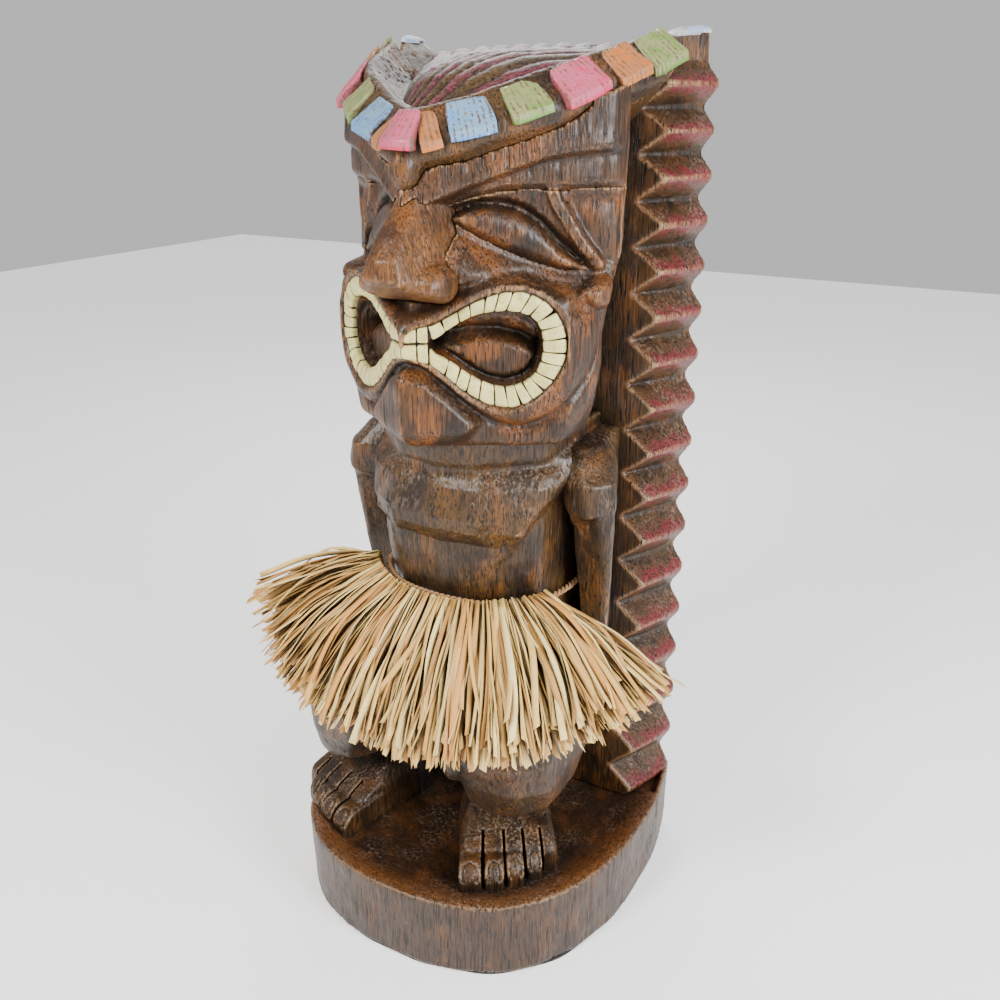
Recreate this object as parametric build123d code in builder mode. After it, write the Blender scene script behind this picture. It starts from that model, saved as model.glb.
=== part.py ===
"""A tiki figure carved in separate blocks, pegged to a back board and screwed to a plinth.

Millimetres. +Z is up, the figure looks along -Y, and +X is the figure's own left.
The origin is the middle of the ground under the plinth.
"""

import os
from math import atan2, cos, degrees, hypot, radians, sin

from build123d import *

os.makedirs("parts", exist_ok=True)

# Plinth
PLINTH_FRONT = -118.0
PLINTH_BACK = 118.0
PLINTH_HALF_WIDTH = 132.0
PAD_THICK = 2.0
PAD_INSET = 3.0
RIM_Z = 61.0
SEAT_Z = 55.0
RIM_WIDTH = 9.0

# Back board
BOARD_FRONT = 62.0
BOARD_BACK = 112.0
BOARD_TOP = 603.0
BOARD_SADDLE = 590.0
BOARD_HALF_FRONT = 109.0
BOARD_HALF_BACK = 124.0
NOTCHES = 16
NOTCH_DEPTH_FRONT = 21.0
NOTCH_DEPTH_BACK = 6.0
NOTCH_LOWEST = 80.0
NOTCH_HIGHEST = 570.0
NOTCH_EASE = 0.16

# Head, mouth, eyes and headdress
HEAD_BOTTOM = 372.0
HEAD_TOP = 541.0
MOUTH_Z = 435.0
MOUTH_LENGTH = 101.0
MOUTH_RADIUS = 38.0
TOOTH_WIDTH = 14.0
TOOTH_PROUD = 3.5
TOOTH_DEEP = 6.0
TOOTH_GAP = 0.8
TEETH = 26
HOLLOW_DEEP = 15.0
EYE_HALF_LENGTH = 40.0
EYE_HALF_HEIGHT = 13.0
EYE_SLANT = -20.0
NOSE_TIP = -98.0
RIM_SLOPE = 0.39
PROW_Z = 552.0
BLOCK_HIGH = 20.0
BLOCK_DEEP = 16.0
BLOCK_PROUD = 3.5

# Body
TORSO_BOTTOM = 232.0
WAIST_Z = 252.0
TORSO_TOP = 371.0
ARM_BOTTOM = 216.0
ARM_TOP = 362.0
ARM_BACK = 84.0
ANKLE_Z = 96.0
STANCE = [("left", 1, (47.0, -22.0), 33.0), ("right", -1, (84.0, -20.0), 17.0)]

# Skirt
CORD_RADIUS = 2.5
CORD_Z = 254.0
HANKS = 9
FAN_HALF_ANGLE = 80.0
SKIRT_TOP_Z = 242.0
SKIRT_TOP_THICK = 8.0
SKIRT_HEM_THICK = 22.0
REACH_FRONT = 48.0
REACH_SIDE = 98.0
DROP_FRONT = 96.0
DROP_SIDE = 44.0
HANK_GAP = 0.4


def whole(half):
    """The closed outline of a half outline, carried round the centre line."""
    return half + [(-x, y) for x, y in reversed(half) if x]


def front_plane(y):
    """The upright plane at y that looks forwards, with x across and z up."""
    return Plane.XZ.offset(-y)


# Pegs and screws: what holds the carving together
peg_runs = [
    ((79, 44, 330), (0, 1, 0), 6, 36),
    ((81, 44, 240), (0, 1, 0), 4, 36),
    ((60, 40, 400), (0, 1, 0), 8, 44),
    ((60, 40, 510), (0, 1, 0), 8, 44),
    ((40, 40, 290), (0, 1, 0), 8, 44),
    ((40, 40, 346), (0, 1, 0), 8, 44),
    ((38, 40, 214), (0, 1, 0), 8, 44),
    ((62, 20, 531), (0, 0, 1), 6, 20),
]
ankle_spots = [(46, -30), (-82, -28)]

with BuildPart() as wooden_pegs:
    for (x, y, z), way, diameter, length in peg_runs:
        for side in (-1, 1):
            with BuildSketch(Plane(origin=(side * x, y, z), z_dir=way)):
                Circle(diameter / 2)
            extrude(amount=length)
    with BuildSketch(Plane.XY.offset(88)):
        with Locations(*ankle_spots):
            Circle(3)
    extrude(amount=26)
wooden_pegs.part.label = "wooden_pegs"
export_step(wooden_pegs.part, "parts/wooden_pegs.step")

SCREW_HEAD_Z = 14.0
screw_spots = [(-78, 88), (0, 88), (78, 88), (50, -14), (-84, -12)]

with BuildPart() as base_screws:
    for x, y in screw_spots:
        with BuildSketch(Plane.XY.offset(SCREW_HEAD_Z)):
            with Locations((x, y)):
                Circle(2.5)
        extrude(amount=66)
        with BuildSketch(Plane.XY.offset(SCREW_HEAD_Z)):
            with Locations((x, y)):
                Circle(5)
                RegularPolygon(2.2, 6, mode=Mode.SUBTRACT)
        extrude(amount=4)

base_screws.part.label = "base_screws"
export_step(base_screws.part, "parts/base_screws.step")

with BuildPart() as screw_wells:
    with BuildSketch():
        with Locations(*screw_spots):
            Circle(5.5)
    extrude(amount=SCREW_HEAD_Z)

# Plinth: an upright wall all round, with a low rim round a dished seat
plinth_half = [
    (24, PLINTH_FRONT - 0.5),
    (76, -104),
    (113, -66),
    (131, -8),
    (PLINTH_HALF_WIDTH + 0.5, 56),
    (118, PLINTH_BACK),
]
plinth_radii = [60, 60, 60, 90, 80, 5]

with BuildSketch() as plinth_plan:
    with BuildLine():
        corners = plinth_half + [(-x, y) for x, y in reversed(plinth_half)]
        FilletPolyline(*corners, radius=plinth_radii + plinth_radii[::-1], close=True)
    make_face()

with BuildPart() as base_pad:
    with BuildSketch():
        offset(plinth_plan.sketch, amount=-PAD_INSET)
    extrude(amount=PAD_THICK)
    add(screw_wells.part, mode=Mode.SUBTRACT)
base_pad.part.label = "base_pad"
export_step(base_pad.part, "parts/base_pad.step")

with BuildPart() as base_plinth:
    with BuildSketch(Plane.XY.offset(PAD_THICK)):
        add(plinth_plan.sketch)
    extrude(amount=RIM_Z - PAD_THICK)
    with BuildSketch(Plane.XY.offset(SEAT_Z)):
        offset(plinth_plan.sketch, amount=-RIM_WIDTH)
        with Locations((0, PLINTH_BACK)):
            Rectangle(252, 60)
    extrude(amount=RIM_Z - SEAT_Z, mode=Mode.SUBTRACT)
    top_edges = base_plinth.edges().filter_by(Axis.Z, reverse=True).group_by(Axis.Z)[-1]
    chamfer(top_edges, 2)
    add(screw_wells.part, mode=Mode.SUBTRACT)
    add(base_screws.part, mode=Mode.SUBTRACT)
base_plinth.part.label = "base_plinth"
export_step(base_plinth.part, "parts/base_plinth.step")

# Waist cord: it lies round the belly over the hanks, and both its ends are tacked to the board
cord_half = [(36, -36.5), (66, -10), (71.5, 16), (71.5, BOARD_FRONT)]
cord_route = [(-x, y) for x, y in reversed(cord_half)] + [(0, -41.5)] + cord_half

with BuildPart() as waist_cord:
    with BuildLine():
        FilletPolyline(*[(x, y, CORD_Z) for x, y in cord_route], radius=9)
    with BuildSketch(Plane(origin=(*cord_route[0], CORD_Z), z_dir=(0, -1, 0))):
        Circle(CORD_RADIUS)
    sweep()
waist_cord.part.label = "waist_cord"
export_step(waist_cord.part, "parts/waist_cord.step")

# Torso: a belly under a heavy chest, flat behind where it lies on the board
torso_sections = {
    TORSO_BOTTOM: [(0, -34), (32, -30), (60, -6), (66, 20), (60, BOARD_FRONT)],
    WAIST_Z: [(0, -37), (34, -32), (61, -8), (66, 18), (60, BOARD_FRONT)],
    298: [(0, -42), (36, -38), (62, -14), (67, 16), (62, BOARD_FRONT)],
    318: [(0, -50), (40, -44), (66, -18), (70, 14), (70, BOARD_FRONT)],
    348: [(0, -50), (44, -40), (72, -14), (82, 16), (82, BOARD_FRONT)],
    TORSO_TOP: [(0, -46), (36, -34), (60, -10), (70, 16), (70, BOARD_FRONT)],
}

with BuildPart() as torso:
    for z, half in torso_sections.items():
        with BuildSketch(Plane.XY.offset(z)):
            with BuildLine():
                Polyline(*whole(half), close=True)
            make_face()
    loft(ruled=True)
    add(waist_cord.part, mode=Mode.SUBTRACT)
    add(wooden_pegs.part, mode=Mode.SUBTRACT)
torso.part.label = "torso"
export_step(torso.part, "parts/torso.step")

# Arms: square-cut slabs from the shoulder to the hip, standing off the belly


def arm_section(near, far, front):
    """An arm's plan between two distances from the centre line: bevelled in front and undercut behind."""
    return [
        (near, front + 8),
        (near + 8, front),
        (far - 9, front),
        (far, front + 11),
        (far - 2, front + 26),
        (ARM_BACK, BOARD_FRONT),
        (near, BOARD_FRONT),
    ]


arm_sections = {
    ARM_BOTTOM: arm_section(78, 102, 10),
    258: arm_section(76, 106, 6),
    322: arm_section(76, 108, -2),
    346: arm_section(74, 107, -4),
    ARM_TOP: arm_section(74, 98, 6),
}

with BuildPart() as arm_left:
    for z, outline in arm_sections.items():
        with BuildSketch(Plane.XY.offset(z)):
            with BuildLine():
                Polyline(*outline, close=True)
            make_face()
    loft(ruled=True)
    add(torso.part, mode=Mode.SUBTRACT)
    add(waist_cord.part, mode=Mode.SUBTRACT)
    add(wooden_pegs.part, mode=Mode.SUBTRACT)
arm_left.part.label = "arm_left"
export_step(arm_left.part, "parts/arm_left.step")

with BuildPart() as arm_right:
    mirror(arm_left.part, about=Plane.YZ)
arm_right.part.label = "arm_right"
export_step(arm_right.part, "parts/arm_right.step")

# Feet: a splayed wedge each, its five toes divided by sawn slots, and the right one set wider
toes = [(-34.0, 57.0, 17.0), (-17.0, 58.0, 15.0), (-1.5, 55.0, 14.0), (12.5, 49.0, 13.0), (25.5, 37.0, 12.0)]
foot_parts = {}
for name, side, (foot_x, foot_y), splay in STANCE:
    turn = radians(side * splay)
    foot_plane = Plane(origin=(side * foot_x, foot_y, SEAT_Z), x_dir=(cos(turn), sin(turn), 0))
    with BuildPart() as foot:
        with BuildSketch(foot_plane):
            with BuildLine():
                sole = [(-38, 15), (-42.5, -36), (32, -36), (31, 22), (-20, 22)]
                Polyline(*[(side * x, y) for x, y in sole], close=True)
            make_face()
        extrude(amount=22)
        for across, length, width in toes:
            with BuildSketch(foot_plane):
                with Locations((side * across, -length)):
                    Rectangle(width - 1.5, 40, align=(Align.CENTER, Align.MIN))
            extrude(amount=17)
        with BuildSketch(foot_plane.offset(17)):
            with Locations((side * -5, 2)):
                Rectangle(70, 36)
        with BuildSketch(foot_plane.offset(ANKLE_Z - SEAT_Z)):
            with Locations((side * -3, 3)):
                Rectangle(54, 30)
        loft(ruled=True)
        for neighbour in (base_plinth, wooden_pegs, base_screws):
            add(neighbour.part, mode=Mode.SUBTRACT)
    foot.part.label = f"foot_{name}"
    export_step(foot.part, f"parts/foot_{name}.step")
    foot_parts[name] = foot

# Legs: bent and heavy, flaring from the hip to the knee and in again to the ankle


def leg_section(across, forward, half, front, back):
    """A leg's plan, an eight-sided block, as a closed outline."""
    bevel = half * 0.42
    return [
        (across - half, front + bevel),
        (across - half + bevel, front),
        (across + half - bevel * 1.3, front + forward),
        (across + half, front + forward + bevel * 1.3),
        (across + half, back - bevel),
        (across + half - bevel, back),
        (across - half + bevel, back),
        (across - half, back - bevel),
    ]


leg_sections = [
    (ANKLE_Z, 1.0, leg_section(53, 4, 27, -52, 8)),
    (104, 1.0, leg_section(54, 4, 32, -60, 14)),
    (152, 0.7, leg_section(55, 6, 36, -74, 40)),
    (196, 0.2, leg_section(50, 8, 40, -52, 56)),
    (TORSO_BOTTOM, 0.0, leg_section(33, 6, 33, -30, 60)),
]

leg_parts = {}
for name, side, (foot_x, foot_y), splay in STANCE:
    wider = foot_x - STANCE[0][2][0]
    with BuildPart() as leg:
        for z, share, outline in leg_sections:
            with BuildSketch(Plane.XY.offset(z)):
                with BuildLine():
                    Polyline(*[(side * (x + share * wider), y) for x, y in outline], close=True)
                make_face()
        loft(ruled=True)
        for neighbour in (foot_parts[name], torso, arm_left, arm_right, wooden_pegs):
            add(neighbour.part, mode=Mode.SUBTRACT)
    leg.part.label = f"leg_{name}"
    export_step(leg.part, f"parts/leg_{name}.step")
    leg_parts[name] = leg

# Nose: a hooked wedge on the prow
nose_sections = {
    463: [(0, -82), (14, -79), (24, -70), (25, -50)],
    474: [(0, -94), (20, -87), (31, -70), (28, -46)],
    490: [(0, NOSE_TIP), (15, -92), (25, -70), (24, -38)],
    512: [(0, -78), (9, -76), (15, -62), (17, -36)],
    532: [(0, -62), (8, -59), (12, -50), (13, -33)],
}

with BuildPart() as nose:
    for z, half in nose_sections.items():
        with BuildSketch(Plane.XY.offset(z)):
            with BuildLine():
                Polyline(*whole(half), close=True)
            make_face()
    loft(ruled=True)
nose.part.label = "nose"
export_step(nose.part, "parts/nose.step")

# Brow: a ledge that runs back over both eyes from the bridge of the nose
with BuildPart() as brow:
    for z, proud in ((517, 1), (526, 9), (HEAD_TOP, 8)):
        with BuildSketch(Plane.XY.offset(z)):
            with BuildLine():
                fold = [(10, -52 - proud), (46, -24 - proud), (97, 20 - proud)]
                fold += [(101, 28), (90, 52), (78, 52), (74, 22)]
                Polyline(*whole(fold + [(10.5, -35)]), close=True)
            make_face()
    loft(ruled=True)
    add(nose.part, mode=Mode.SUBTRACT)
    add(wooden_pegs.part, mode=Mode.SUBTRACT)
brow.part.label = "brow"
export_step(brow.part, "parts/brow.step")

# Mouth: its outline is drawn on the flat of the cheek, and a band of tooth tiles is let in round it
CHEEK_NEAR = (0.0, -71.5)
CHEEK_RUN = Vector(44, 28, 0).normalized()
CHEEK_OUT = CHEEK_RUN.cross(Vector(0, 0, 1))


def cheek_plane(run, z, proud=0.0, slant=0.0):
    """A plane on the left cheek, run along it from the prow at height z, proud of it and slanted in it."""
    at = Vector(*CHEEK_NEAR, z) + CHEEK_RUN * run + CHEEK_OUT * proud
    return Plane(origin=at, x_dir=CHEEK_RUN, z_dir=CHEEK_OUT).rotated((0, 0, slant))


MOUTH_CENTRE = MOUTH_LENGTH - MOUTH_RADIUS


def teardrop(shrink):
    """The upper points of the mouth's outline, from its tip at the prow to its far end."""
    radius = MOUTH_RADIUS - shrink
    tip = 2.1 * shrink - 3
    return [
        (tip, 0),
        (tip + 0.42 * (MOUTH_CENTRE - tip), 0.66 * radius),
        (MOUTH_CENTRE, radius),
        (MOUTH_CENTRE + radius, 0),
    ]


with BuildSketch() as mouth_outer:
    with BuildLine():
        upper = teardrop(0)
        Spline(*upper, tangents=[(1, 1.0, 0), (0, -1, 0)])
        Spline(*[(x, -y) for x, y in upper], tangents=[(1, -1.0, 0), (0, 1, 0)])
    make_face()

with BuildSketch() as mouth_inner:
    with BuildLine():
        upper = teardrop(TOOTH_WIDTH)
        Spline(*upper, tangents=[(1, 1.0, 0), (0, -1, 0)])
        Spline(*[(x, -y) for x, y in upper], tangents=[(1, -1.0, 0), (0, 1, 0)])
    make_face()

with BuildPart() as mouth_seat:
    with BuildSketch(cheek_plane(0, MOUTH_Z, -TOOTH_DEEP)):
        add(mouth_outer.sketch)
    extrude(amount=TOOTH_DEEP + 20)
    with BuildSketch(cheek_plane(0, MOUTH_Z, -HOLLOW_DEEP)):
        add(mouth_inner.sketch)
    extrude(amount=HOLLOW_DEEP + 20)
    with BuildSketch(cheek_plane(MOUTH_CENTRE - 6, MOUTH_Z - 2, -HOLLOW_DEEP)):
        Ellipse(22, 10)
    with BuildSketch(cheek_plane(MOUTH_CENTRE - 6, MOUTH_Z - 2, -HOLLOW_DEEP + 10)):
        Ellipse(13, 4)
    loft(ruled=True, mode=Mode.SUBTRACT)

with BuildPart() as teeth_left:
    with BuildSketch(cheek_plane(0, MOUTH_Z, -TOOTH_DEEP)):
        add(mouth_outer.sketch)
        add(mouth_inner.sketch, mode=Mode.SUBTRACT)
    extrude(amount=TOOTH_DEEP + TOOTH_PROUD)
    with BuildSketch(cheek_plane(MOUTH_CENTRE, MOUTH_Z, -TOOTH_DEEP)):
        with PolarLocations(0, TEETH, start_angle=180 / TEETH):
            Rectangle(90, TOOTH_GAP, align=(Align.MIN, Align.CENTER))
    extrude(amount=TOOTH_DEEP + TOOTH_PROUD, mode=Mode.SUBTRACT)
    split(bisect_by=Plane.YZ.offset(TOOTH_GAP / 2))
teeth_left.part.label = "teeth_left"
export_step(teeth_left.part, "parts/teeth_left.step")

with BuildPart() as teeth_right:
    mirror(teeth_left.part, about=Plane.YZ)
teeth_right.part.label = "teeth_right"
export_step(teeth_right.part, "parts/teeth_right.step")

# Eyes: a slanted almond let into each temple, which is set back behind the cheek
TEMPLE_RUN = Vector(98, 79, 0).normalized()
TEMPLE_OUT = TEMPLE_RUN.cross(Vector(0, 0, 1))


def temple_plane(run, z, proud, slant):
    """A plane on the left temple, run along it from the bridge at height z, proud of it and slanted in it."""
    at = Vector(0, -60, z) + TEMPLE_RUN * run + TEMPLE_OUT * proud
    return Plane(origin=at, x_dir=TEMPLE_RUN, z_dir=TEMPLE_OUT).rotated((0, 0, slant))


with BuildPart() as eye_left:
    for proud, share in ((-12, 1.0), (4, 0.62)):
        with BuildSketch(temple_plane(66, 498, proud, EYE_SLANT)):
            with BuildLine():
                corner = EYE_HALF_LENGTH * share
                lid = EYE_HALF_HEIGHT * share
                ThreePointArc((-corner, 0), (0, lid), (corner, 0))
                ThreePointArc((corner, 0), (0, -lid), (-corner, 0))
            make_face()
    loft(ruled=True)
    add(brow.part, mode=Mode.SUBTRACT)
    add(nose.part, mode=Mode.SUBTRACT)
eye_left.part.label = "eye_left"
export_step(eye_left.part, "parts/eye_left.step")

with BuildPart() as eye_right:
    mirror(eye_left.part, about=Plane.YZ)
eye_right.part.label = "eye_right"
export_step(eye_right.part, "parts/eye_right.step")

# Head: a wedge whose two flat cheeks carry the mouth
head_sections = {
    HEAD_BOTTOM: [(0, -58), (34, -42), (64, -18), (80, 2), (66, BOARD_FRONT)],
    390: [(0, -82), (46, -54), (80, -22), (88, -2), (68, BOARD_FRONT)],
    438: [(0, -72), (44, -44), (86, -18), (96, 0), (72, BOARD_FRONT)],
    470: [(0, -70), (46, -42), (90, -10), (100, 10), (80, BOARD_FRONT)],
    486: [(0, -62), (46, -27), (86, 6), (98, 20), (82, BOARD_FRONT)],
    HEAD_TOP: [(0, -56), (46, -22), (86, 10), (98, 26), (82, BOARD_FRONT)],
}

with BuildPart() as head:
    for z, half in head_sections.items():
        with BuildSketch(Plane.XY.offset(z)):
            with BuildLine():
                Polyline(*whole(half), close=True)
            make_face()
    loft(ruled=True)
    add(mouth_seat.part, mode=Mode.SUBTRACT)
    mirror(mouth_seat.part, about=Plane.YZ, mode=Mode.SUBTRACT)
    for neighbour in (nose, brow, eye_left, eye_right, wooden_pegs):
        add(neighbour.part, mode=Mode.SUBTRACT)
head.part.label = "head"
export_step(head.part, "parts/head.step")

# Rim: the canopy over the face has its prow above the nose, and its planes all rise backwards
rim_half = [(0, -76), (16, -66), (38, -52), (62, -32), (84, -8), (99, 28), (111, BOARD_FRONT)]
rake_cos = cos(atan2(RIM_SLOPE, 1))
rake_sin = sin(atan2(RIM_SLOPE, 1))


def raked_plane(z):
    """A plane that rises backwards at the rim's slope and stands at height z over the origin's prow."""
    return Plane(origin=(0, rim_half[0][1], z), x_dir=(1, 0, 0), z_dir=(0, -rake_sin, rake_cos))


def raked_outline(shrink, past=0):
    """The canopy's outline on a raked plane, drawn in by shrink of its size and carried past the board's face."""
    drawn = [(x * (1 - shrink), BOARD_FRONT + (y - BOARD_FRONT) * (1 - shrink)) for x, y in rim_half]
    drawn[-1] = (drawn[-1][0], BOARD_FRONT + past)
    return whole([(x, (y - rim_half[0][1]) / rake_cos) for x, y in drawn])


# Rim blocks: painted tiles astride the canopy's edge, from the prow to the board's corners
rim_steps = {
    "pink": [(0.0, 21.0), (110.0, 29.0)],
    "orange": [(23.0, 9.0), (144.0, 24.0)],
    "blue": [(43.5, 27.0)],
    "green": [(76.5, 25.0), (173.0, 24.0)],
}


def rim_place(distance, side):
    """Where a tile sits, at a distance along the rim from the prow on one side."""
    run = distance
    for (x0, y0), (x1, y1) in zip(rim_half, rim_half[1:]):
        span = hypot(x1 - x0, y1 - y0)
        if run <= span:
            break
        run -= span
    heading = atan2(y1 - y0, x1 - x0) if distance else 0.0
    x, y = x0 + run * cos(heading), y0 + run * sin(heading)
    z = PROW_Z + RIM_SLOPE * (y - rim_half[0][1])
    along = Vector(cos(heading), sin(heading), RIM_SLOPE * sin(heading)).normalized()
    across = Vector(-sin(heading), cos(heading), 0)
    up = along.cross(across)
    if side < 0:
        x, along, up = -x, Vector(along.X, -along.Y, -along.Z), Vector(-up.X, up.Y, up.Z)
    return Plane(origin=(x, y, z), x_dir=along, z_dir=up)


block_parts = {}
for colour, steps in rim_steps.items():
    with BuildPart() as painted:
        for distance, width in steps:
            for side in (1, -1) if distance else (1,):
                with BuildSketch(rim_place(distance, side).offset(-BLOCK_HIGH / 2 + 4)):
                    with Locations((0, -BLOCK_PROUD)):
                        Rectangle(width, BLOCK_DEEP, align=(Align.CENTER, Align.MIN))
                extrude(amount=BLOCK_HIGH)
        if colour == "blue":
            with BuildSketch(Plane.XY.offset(BOARD_TOP)):
                with Locations((109, 88), (-109, 88)):
                    Rectangle(30, 40)
            extrude(amount=9)
    painted.part.label = f"rim_blocks_{colour}"
    export_step(painted.part, f"parts/rim_blocks_{colour}.step")
    block_parts[colour] = painted

# Headdress: the canopy itself, notched for the painted blocks
with BuildPart() as headdress:
    with BuildSketch(Plane.XY.offset(HEAD_TOP)):
        with BuildLine():
            Polyline(*whole(head_sections[HEAD_TOP]), close=True)
        make_face()
    extrude(amount=90)
    split(bisect_by=raked_plane(PROW_Z), keep=Keep.BOTTOM)
    for z, shrink in ((PROW_Z - 26, 0.14), (PROW_Z - 8, 0.03), (PROW_Z + 3, 0.0), (PROW_Z + 8, 0.05)):
        with BuildSketch(raked_plane(z)):
            with BuildLine():
                Polyline(*raked_outline(shrink), close=True)
            make_face()
    loft(ruled=True)
    split(bisect_by=front_plane(BOARD_FRONT), keep=Keep.TOP)
    split(bisect_by=Plane.XY.offset(HEAD_TOP), keep=Keep.TOP)
    with BuildSketch(Plane(origin=(0, rim_half[0][1], PROW_Z + 4), x_dir=(1, 0, 0), z_dir=(0, -0.27, 1))):
        with BuildLine():
            Polyline(*raked_outline(0.17, 15), close=True)
        make_face()
    extrude(amount=60, mode=Mode.SUBTRACT)
    for painted in block_parts.values():
        add(painted.part, mode=Mode.SUBTRACT)
    add(wooden_pegs.part, mode=Mode.SUBTRACT)
headdress.part.label = "headdress"
export_step(headdress.part, "parts/headdress.step")

# Back board: a flaring plank with V notches down both edges, deep at its face and shallow behind


def notch_height(index):
    """The middle of one notch: they stand closer together towards the top."""
    share = index / (NOTCHES - 1)
    return NOTCH_LOWEST + (NOTCH_HIGHEST - NOTCH_LOWEST) * share * (1 + NOTCH_EASE * (1 - share))


with BuildPart() as back_board:
    for y, half_width in ((BOARD_FRONT, BOARD_HALF_FRONT), (BOARD_BACK, BOARD_HALF_BACK)):
        with BuildSketch(front_plane(y)):
            with BuildLine():
                shoulder = half_width - 16
                board_half = [(half_width, SEAT_Z), (half_width, BOARD_TOP), (shoulder, BOARD_TOP)]
                Polyline(*whole(board_half + [(shoulder - 14, BOARD_SADDLE)]), close=True)
            make_face()
    loft(ruled=True)
    for index in range(NOTCHES):
        middle = notch_height(index)
        half_open = 0.43 * (notch_height(index + 1) - notch_height(index - 1)) / 2
        for side in (-1, 1):
            for y, edge, depth in (
                (BOARD_FRONT, BOARD_HALF_FRONT, NOTCH_DEPTH_FRONT),
                (BOARD_BACK, BOARD_HALF_BACK, NOTCH_DEPTH_BACK),
            ):
                tip = edge - depth
                far = edge + 4
                spread = half_open * (far - tip) / depth
                with BuildSketch(front_plane(y)):
                    with BuildLine():
                        Polyline(
                            (side * tip, middle),
                            (side * far, middle + spread),
                            (side * far, middle - spread),
                            close=True,
                        )
                    make_face()
            loft(ruled=True, mode=Mode.SUBTRACT)
    add(block_parts["blue"].part, mode=Mode.SUBTRACT)
    add(block_parts["green"].part, mode=Mode.SUBTRACT)
    add(wooden_pegs.part, mode=Mode.SUBTRACT)
    add(base_screws.part, mode=Mode.SUBTRACT)
back_board.part.label = "back_board"
export_step(back_board.part, "parts/back_board.step")

# Crown: the striped mound, from behind the prow back over the board's saddle
crown_sections = {
    562: [(0, -52), (18, -34), (56, 34), (82, 76), (84, BOARD_BACK - 3)],
    592: [(0, -14), (16, 2), (50, 50), (74, 82), (78, BOARD_BACK - 3)],
    608: [(0, 50), (12, 56), (38, 80), (58, 92), (62, BOARD_BACK - 5)],
}

with BuildPart() as crown:
    for z, half in crown_sections.items():
        with BuildSketch(Plane.XY.offset(z)):
            with BuildLine():
                Polyline(*whole(half), close=True)
            make_face()
    loft(ruled=True)
    add(headdress.part, mode=Mode.SUBTRACT)
    add(back_board.part, mode=Mode.SUBTRACT)
crown.part.label = "crown"
export_step(crown.part, "parts/crown.step")

# Skirt: hanks of raffia that fan out from the waist, side by side


def fan_point(angle, share, lift):
    """A point of the fan: angle round the waist, share of the way down, lift off its underside."""
    turn = radians(angle)
    side = abs(angle) / FAN_HALF_ANGLE
    reach = REACH_FRONT + (REACH_SIDE - REACH_FRONT) * side
    drop = DROP_FRONT + (DROP_SIDE - DROP_FRONT) * side**1.5
    steep = atan2(drop, reach)
    out = reach * share + lift * sin(steep)
    x = 70 * sin(turn * 0.86) + out * sin(turn)
    y = 4 - 46 * cos(turn * 0.86) - out * cos(turn)
    return Vector(x, y, SKIRT_TOP_Z - drop * share + lift * cos(steep))


for index in range(HANKS):
    first = FAN_HALF_ANGLE * (2 * index / HANKS - 1) + HANK_GAP
    last = FAN_HALF_ANGLE * (2 * (index + 1) / HANKS - 1) - HANK_GAP
    with BuildPart() as raffia:
        for share, thick in ((0.0, SKIRT_TOP_THICK), (1.0, SKIRT_HEM_THICK)):
            a, b = fan_point(first, share, 0), fan_point(last, share, 0)
            middle = fan_point((first + last) / 2, share, thick) - (a + b) * 0.5
            across = (b - a).normalized()
            up = (middle - across * middle.dot(across)).normalized()
            with BuildSketch(Plane(origin=(a + b) * 0.5, x_dir=across, z_dir=across.cross(up))):
                Trapezoid((b - a).length, thick, 88, align=(Align.CENTER, Align.MIN))
        loft(ruled=True)
        for neighbour in (torso, waist_cord, leg_parts["left"], leg_parts["right"], arm_left, arm_right):
            add(neighbour.part, mode=Mode.SUBTRACT)
    raffia.part.label = f"raffia_hank_{index + 1}"
    export_step(raffia.part, f"parts/raffia_hank_{index + 1}.step")
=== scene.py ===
import math
import random

import bpy
import numpy as np
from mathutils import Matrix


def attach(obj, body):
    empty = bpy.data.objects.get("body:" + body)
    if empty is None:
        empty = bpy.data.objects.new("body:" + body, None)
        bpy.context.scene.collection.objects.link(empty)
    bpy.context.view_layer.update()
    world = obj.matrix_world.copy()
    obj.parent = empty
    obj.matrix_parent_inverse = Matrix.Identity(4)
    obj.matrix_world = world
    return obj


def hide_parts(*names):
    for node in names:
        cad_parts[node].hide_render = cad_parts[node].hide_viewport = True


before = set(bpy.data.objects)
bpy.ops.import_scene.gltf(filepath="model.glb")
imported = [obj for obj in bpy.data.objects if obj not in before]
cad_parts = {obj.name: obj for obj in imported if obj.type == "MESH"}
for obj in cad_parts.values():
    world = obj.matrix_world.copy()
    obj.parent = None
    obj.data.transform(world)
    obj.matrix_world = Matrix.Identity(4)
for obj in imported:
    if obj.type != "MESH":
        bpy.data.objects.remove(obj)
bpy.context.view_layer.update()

import openvdb
from mathutils import Vector

VOXEL = 1.25
MM = 0.001
BOARD_FACE = 62
BOARD_REAR = 112
MIRROR = np.array([-1, 1, 1])

# Camera, lights and floor
scene = bpy.context.scene
lens = bpy.data.cameras.new("camera")
lens.lens = 36
lens.sensor_width = 36
camera = bpy.data.objects.new("camera", lens)
scene.collection.objects.link(camera)
camera.location = (0.3365, -0.562, 0.574)
camera.rotation_euler = (math.radians(68.2), 0, math.radians(29))
scene.camera = camera


def area_light(name, place, aim, energy, size, colour=(1, 1, 1)):
    """A soft square light at a place, turned to shine on a point."""
    data = bpy.data.lights.new(name, "AREA")
    data.energy = energy
    data.size = size
    data.color = colour
    light = bpy.data.objects.new(name, data)
    scene.collection.objects.link(light)
    light.location = place
    light.rotation_euler = (Vector(aim) - Vector(place)).to_track_quat("-Z", "Y").to_euler()


area_light("key", (-0.35, -1.25, 1.35), (0, 0, 0.33), 30, 0.42, (1.0, 0.96, 0.90))
area_light("side", (1.35, -0.35, 0.85), (0, 0, 0.33), 33, 0.6)
area_light("back", (-0.6, 1.2, 1.3), (0, 0, 0.4), 10, 0.8)

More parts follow.
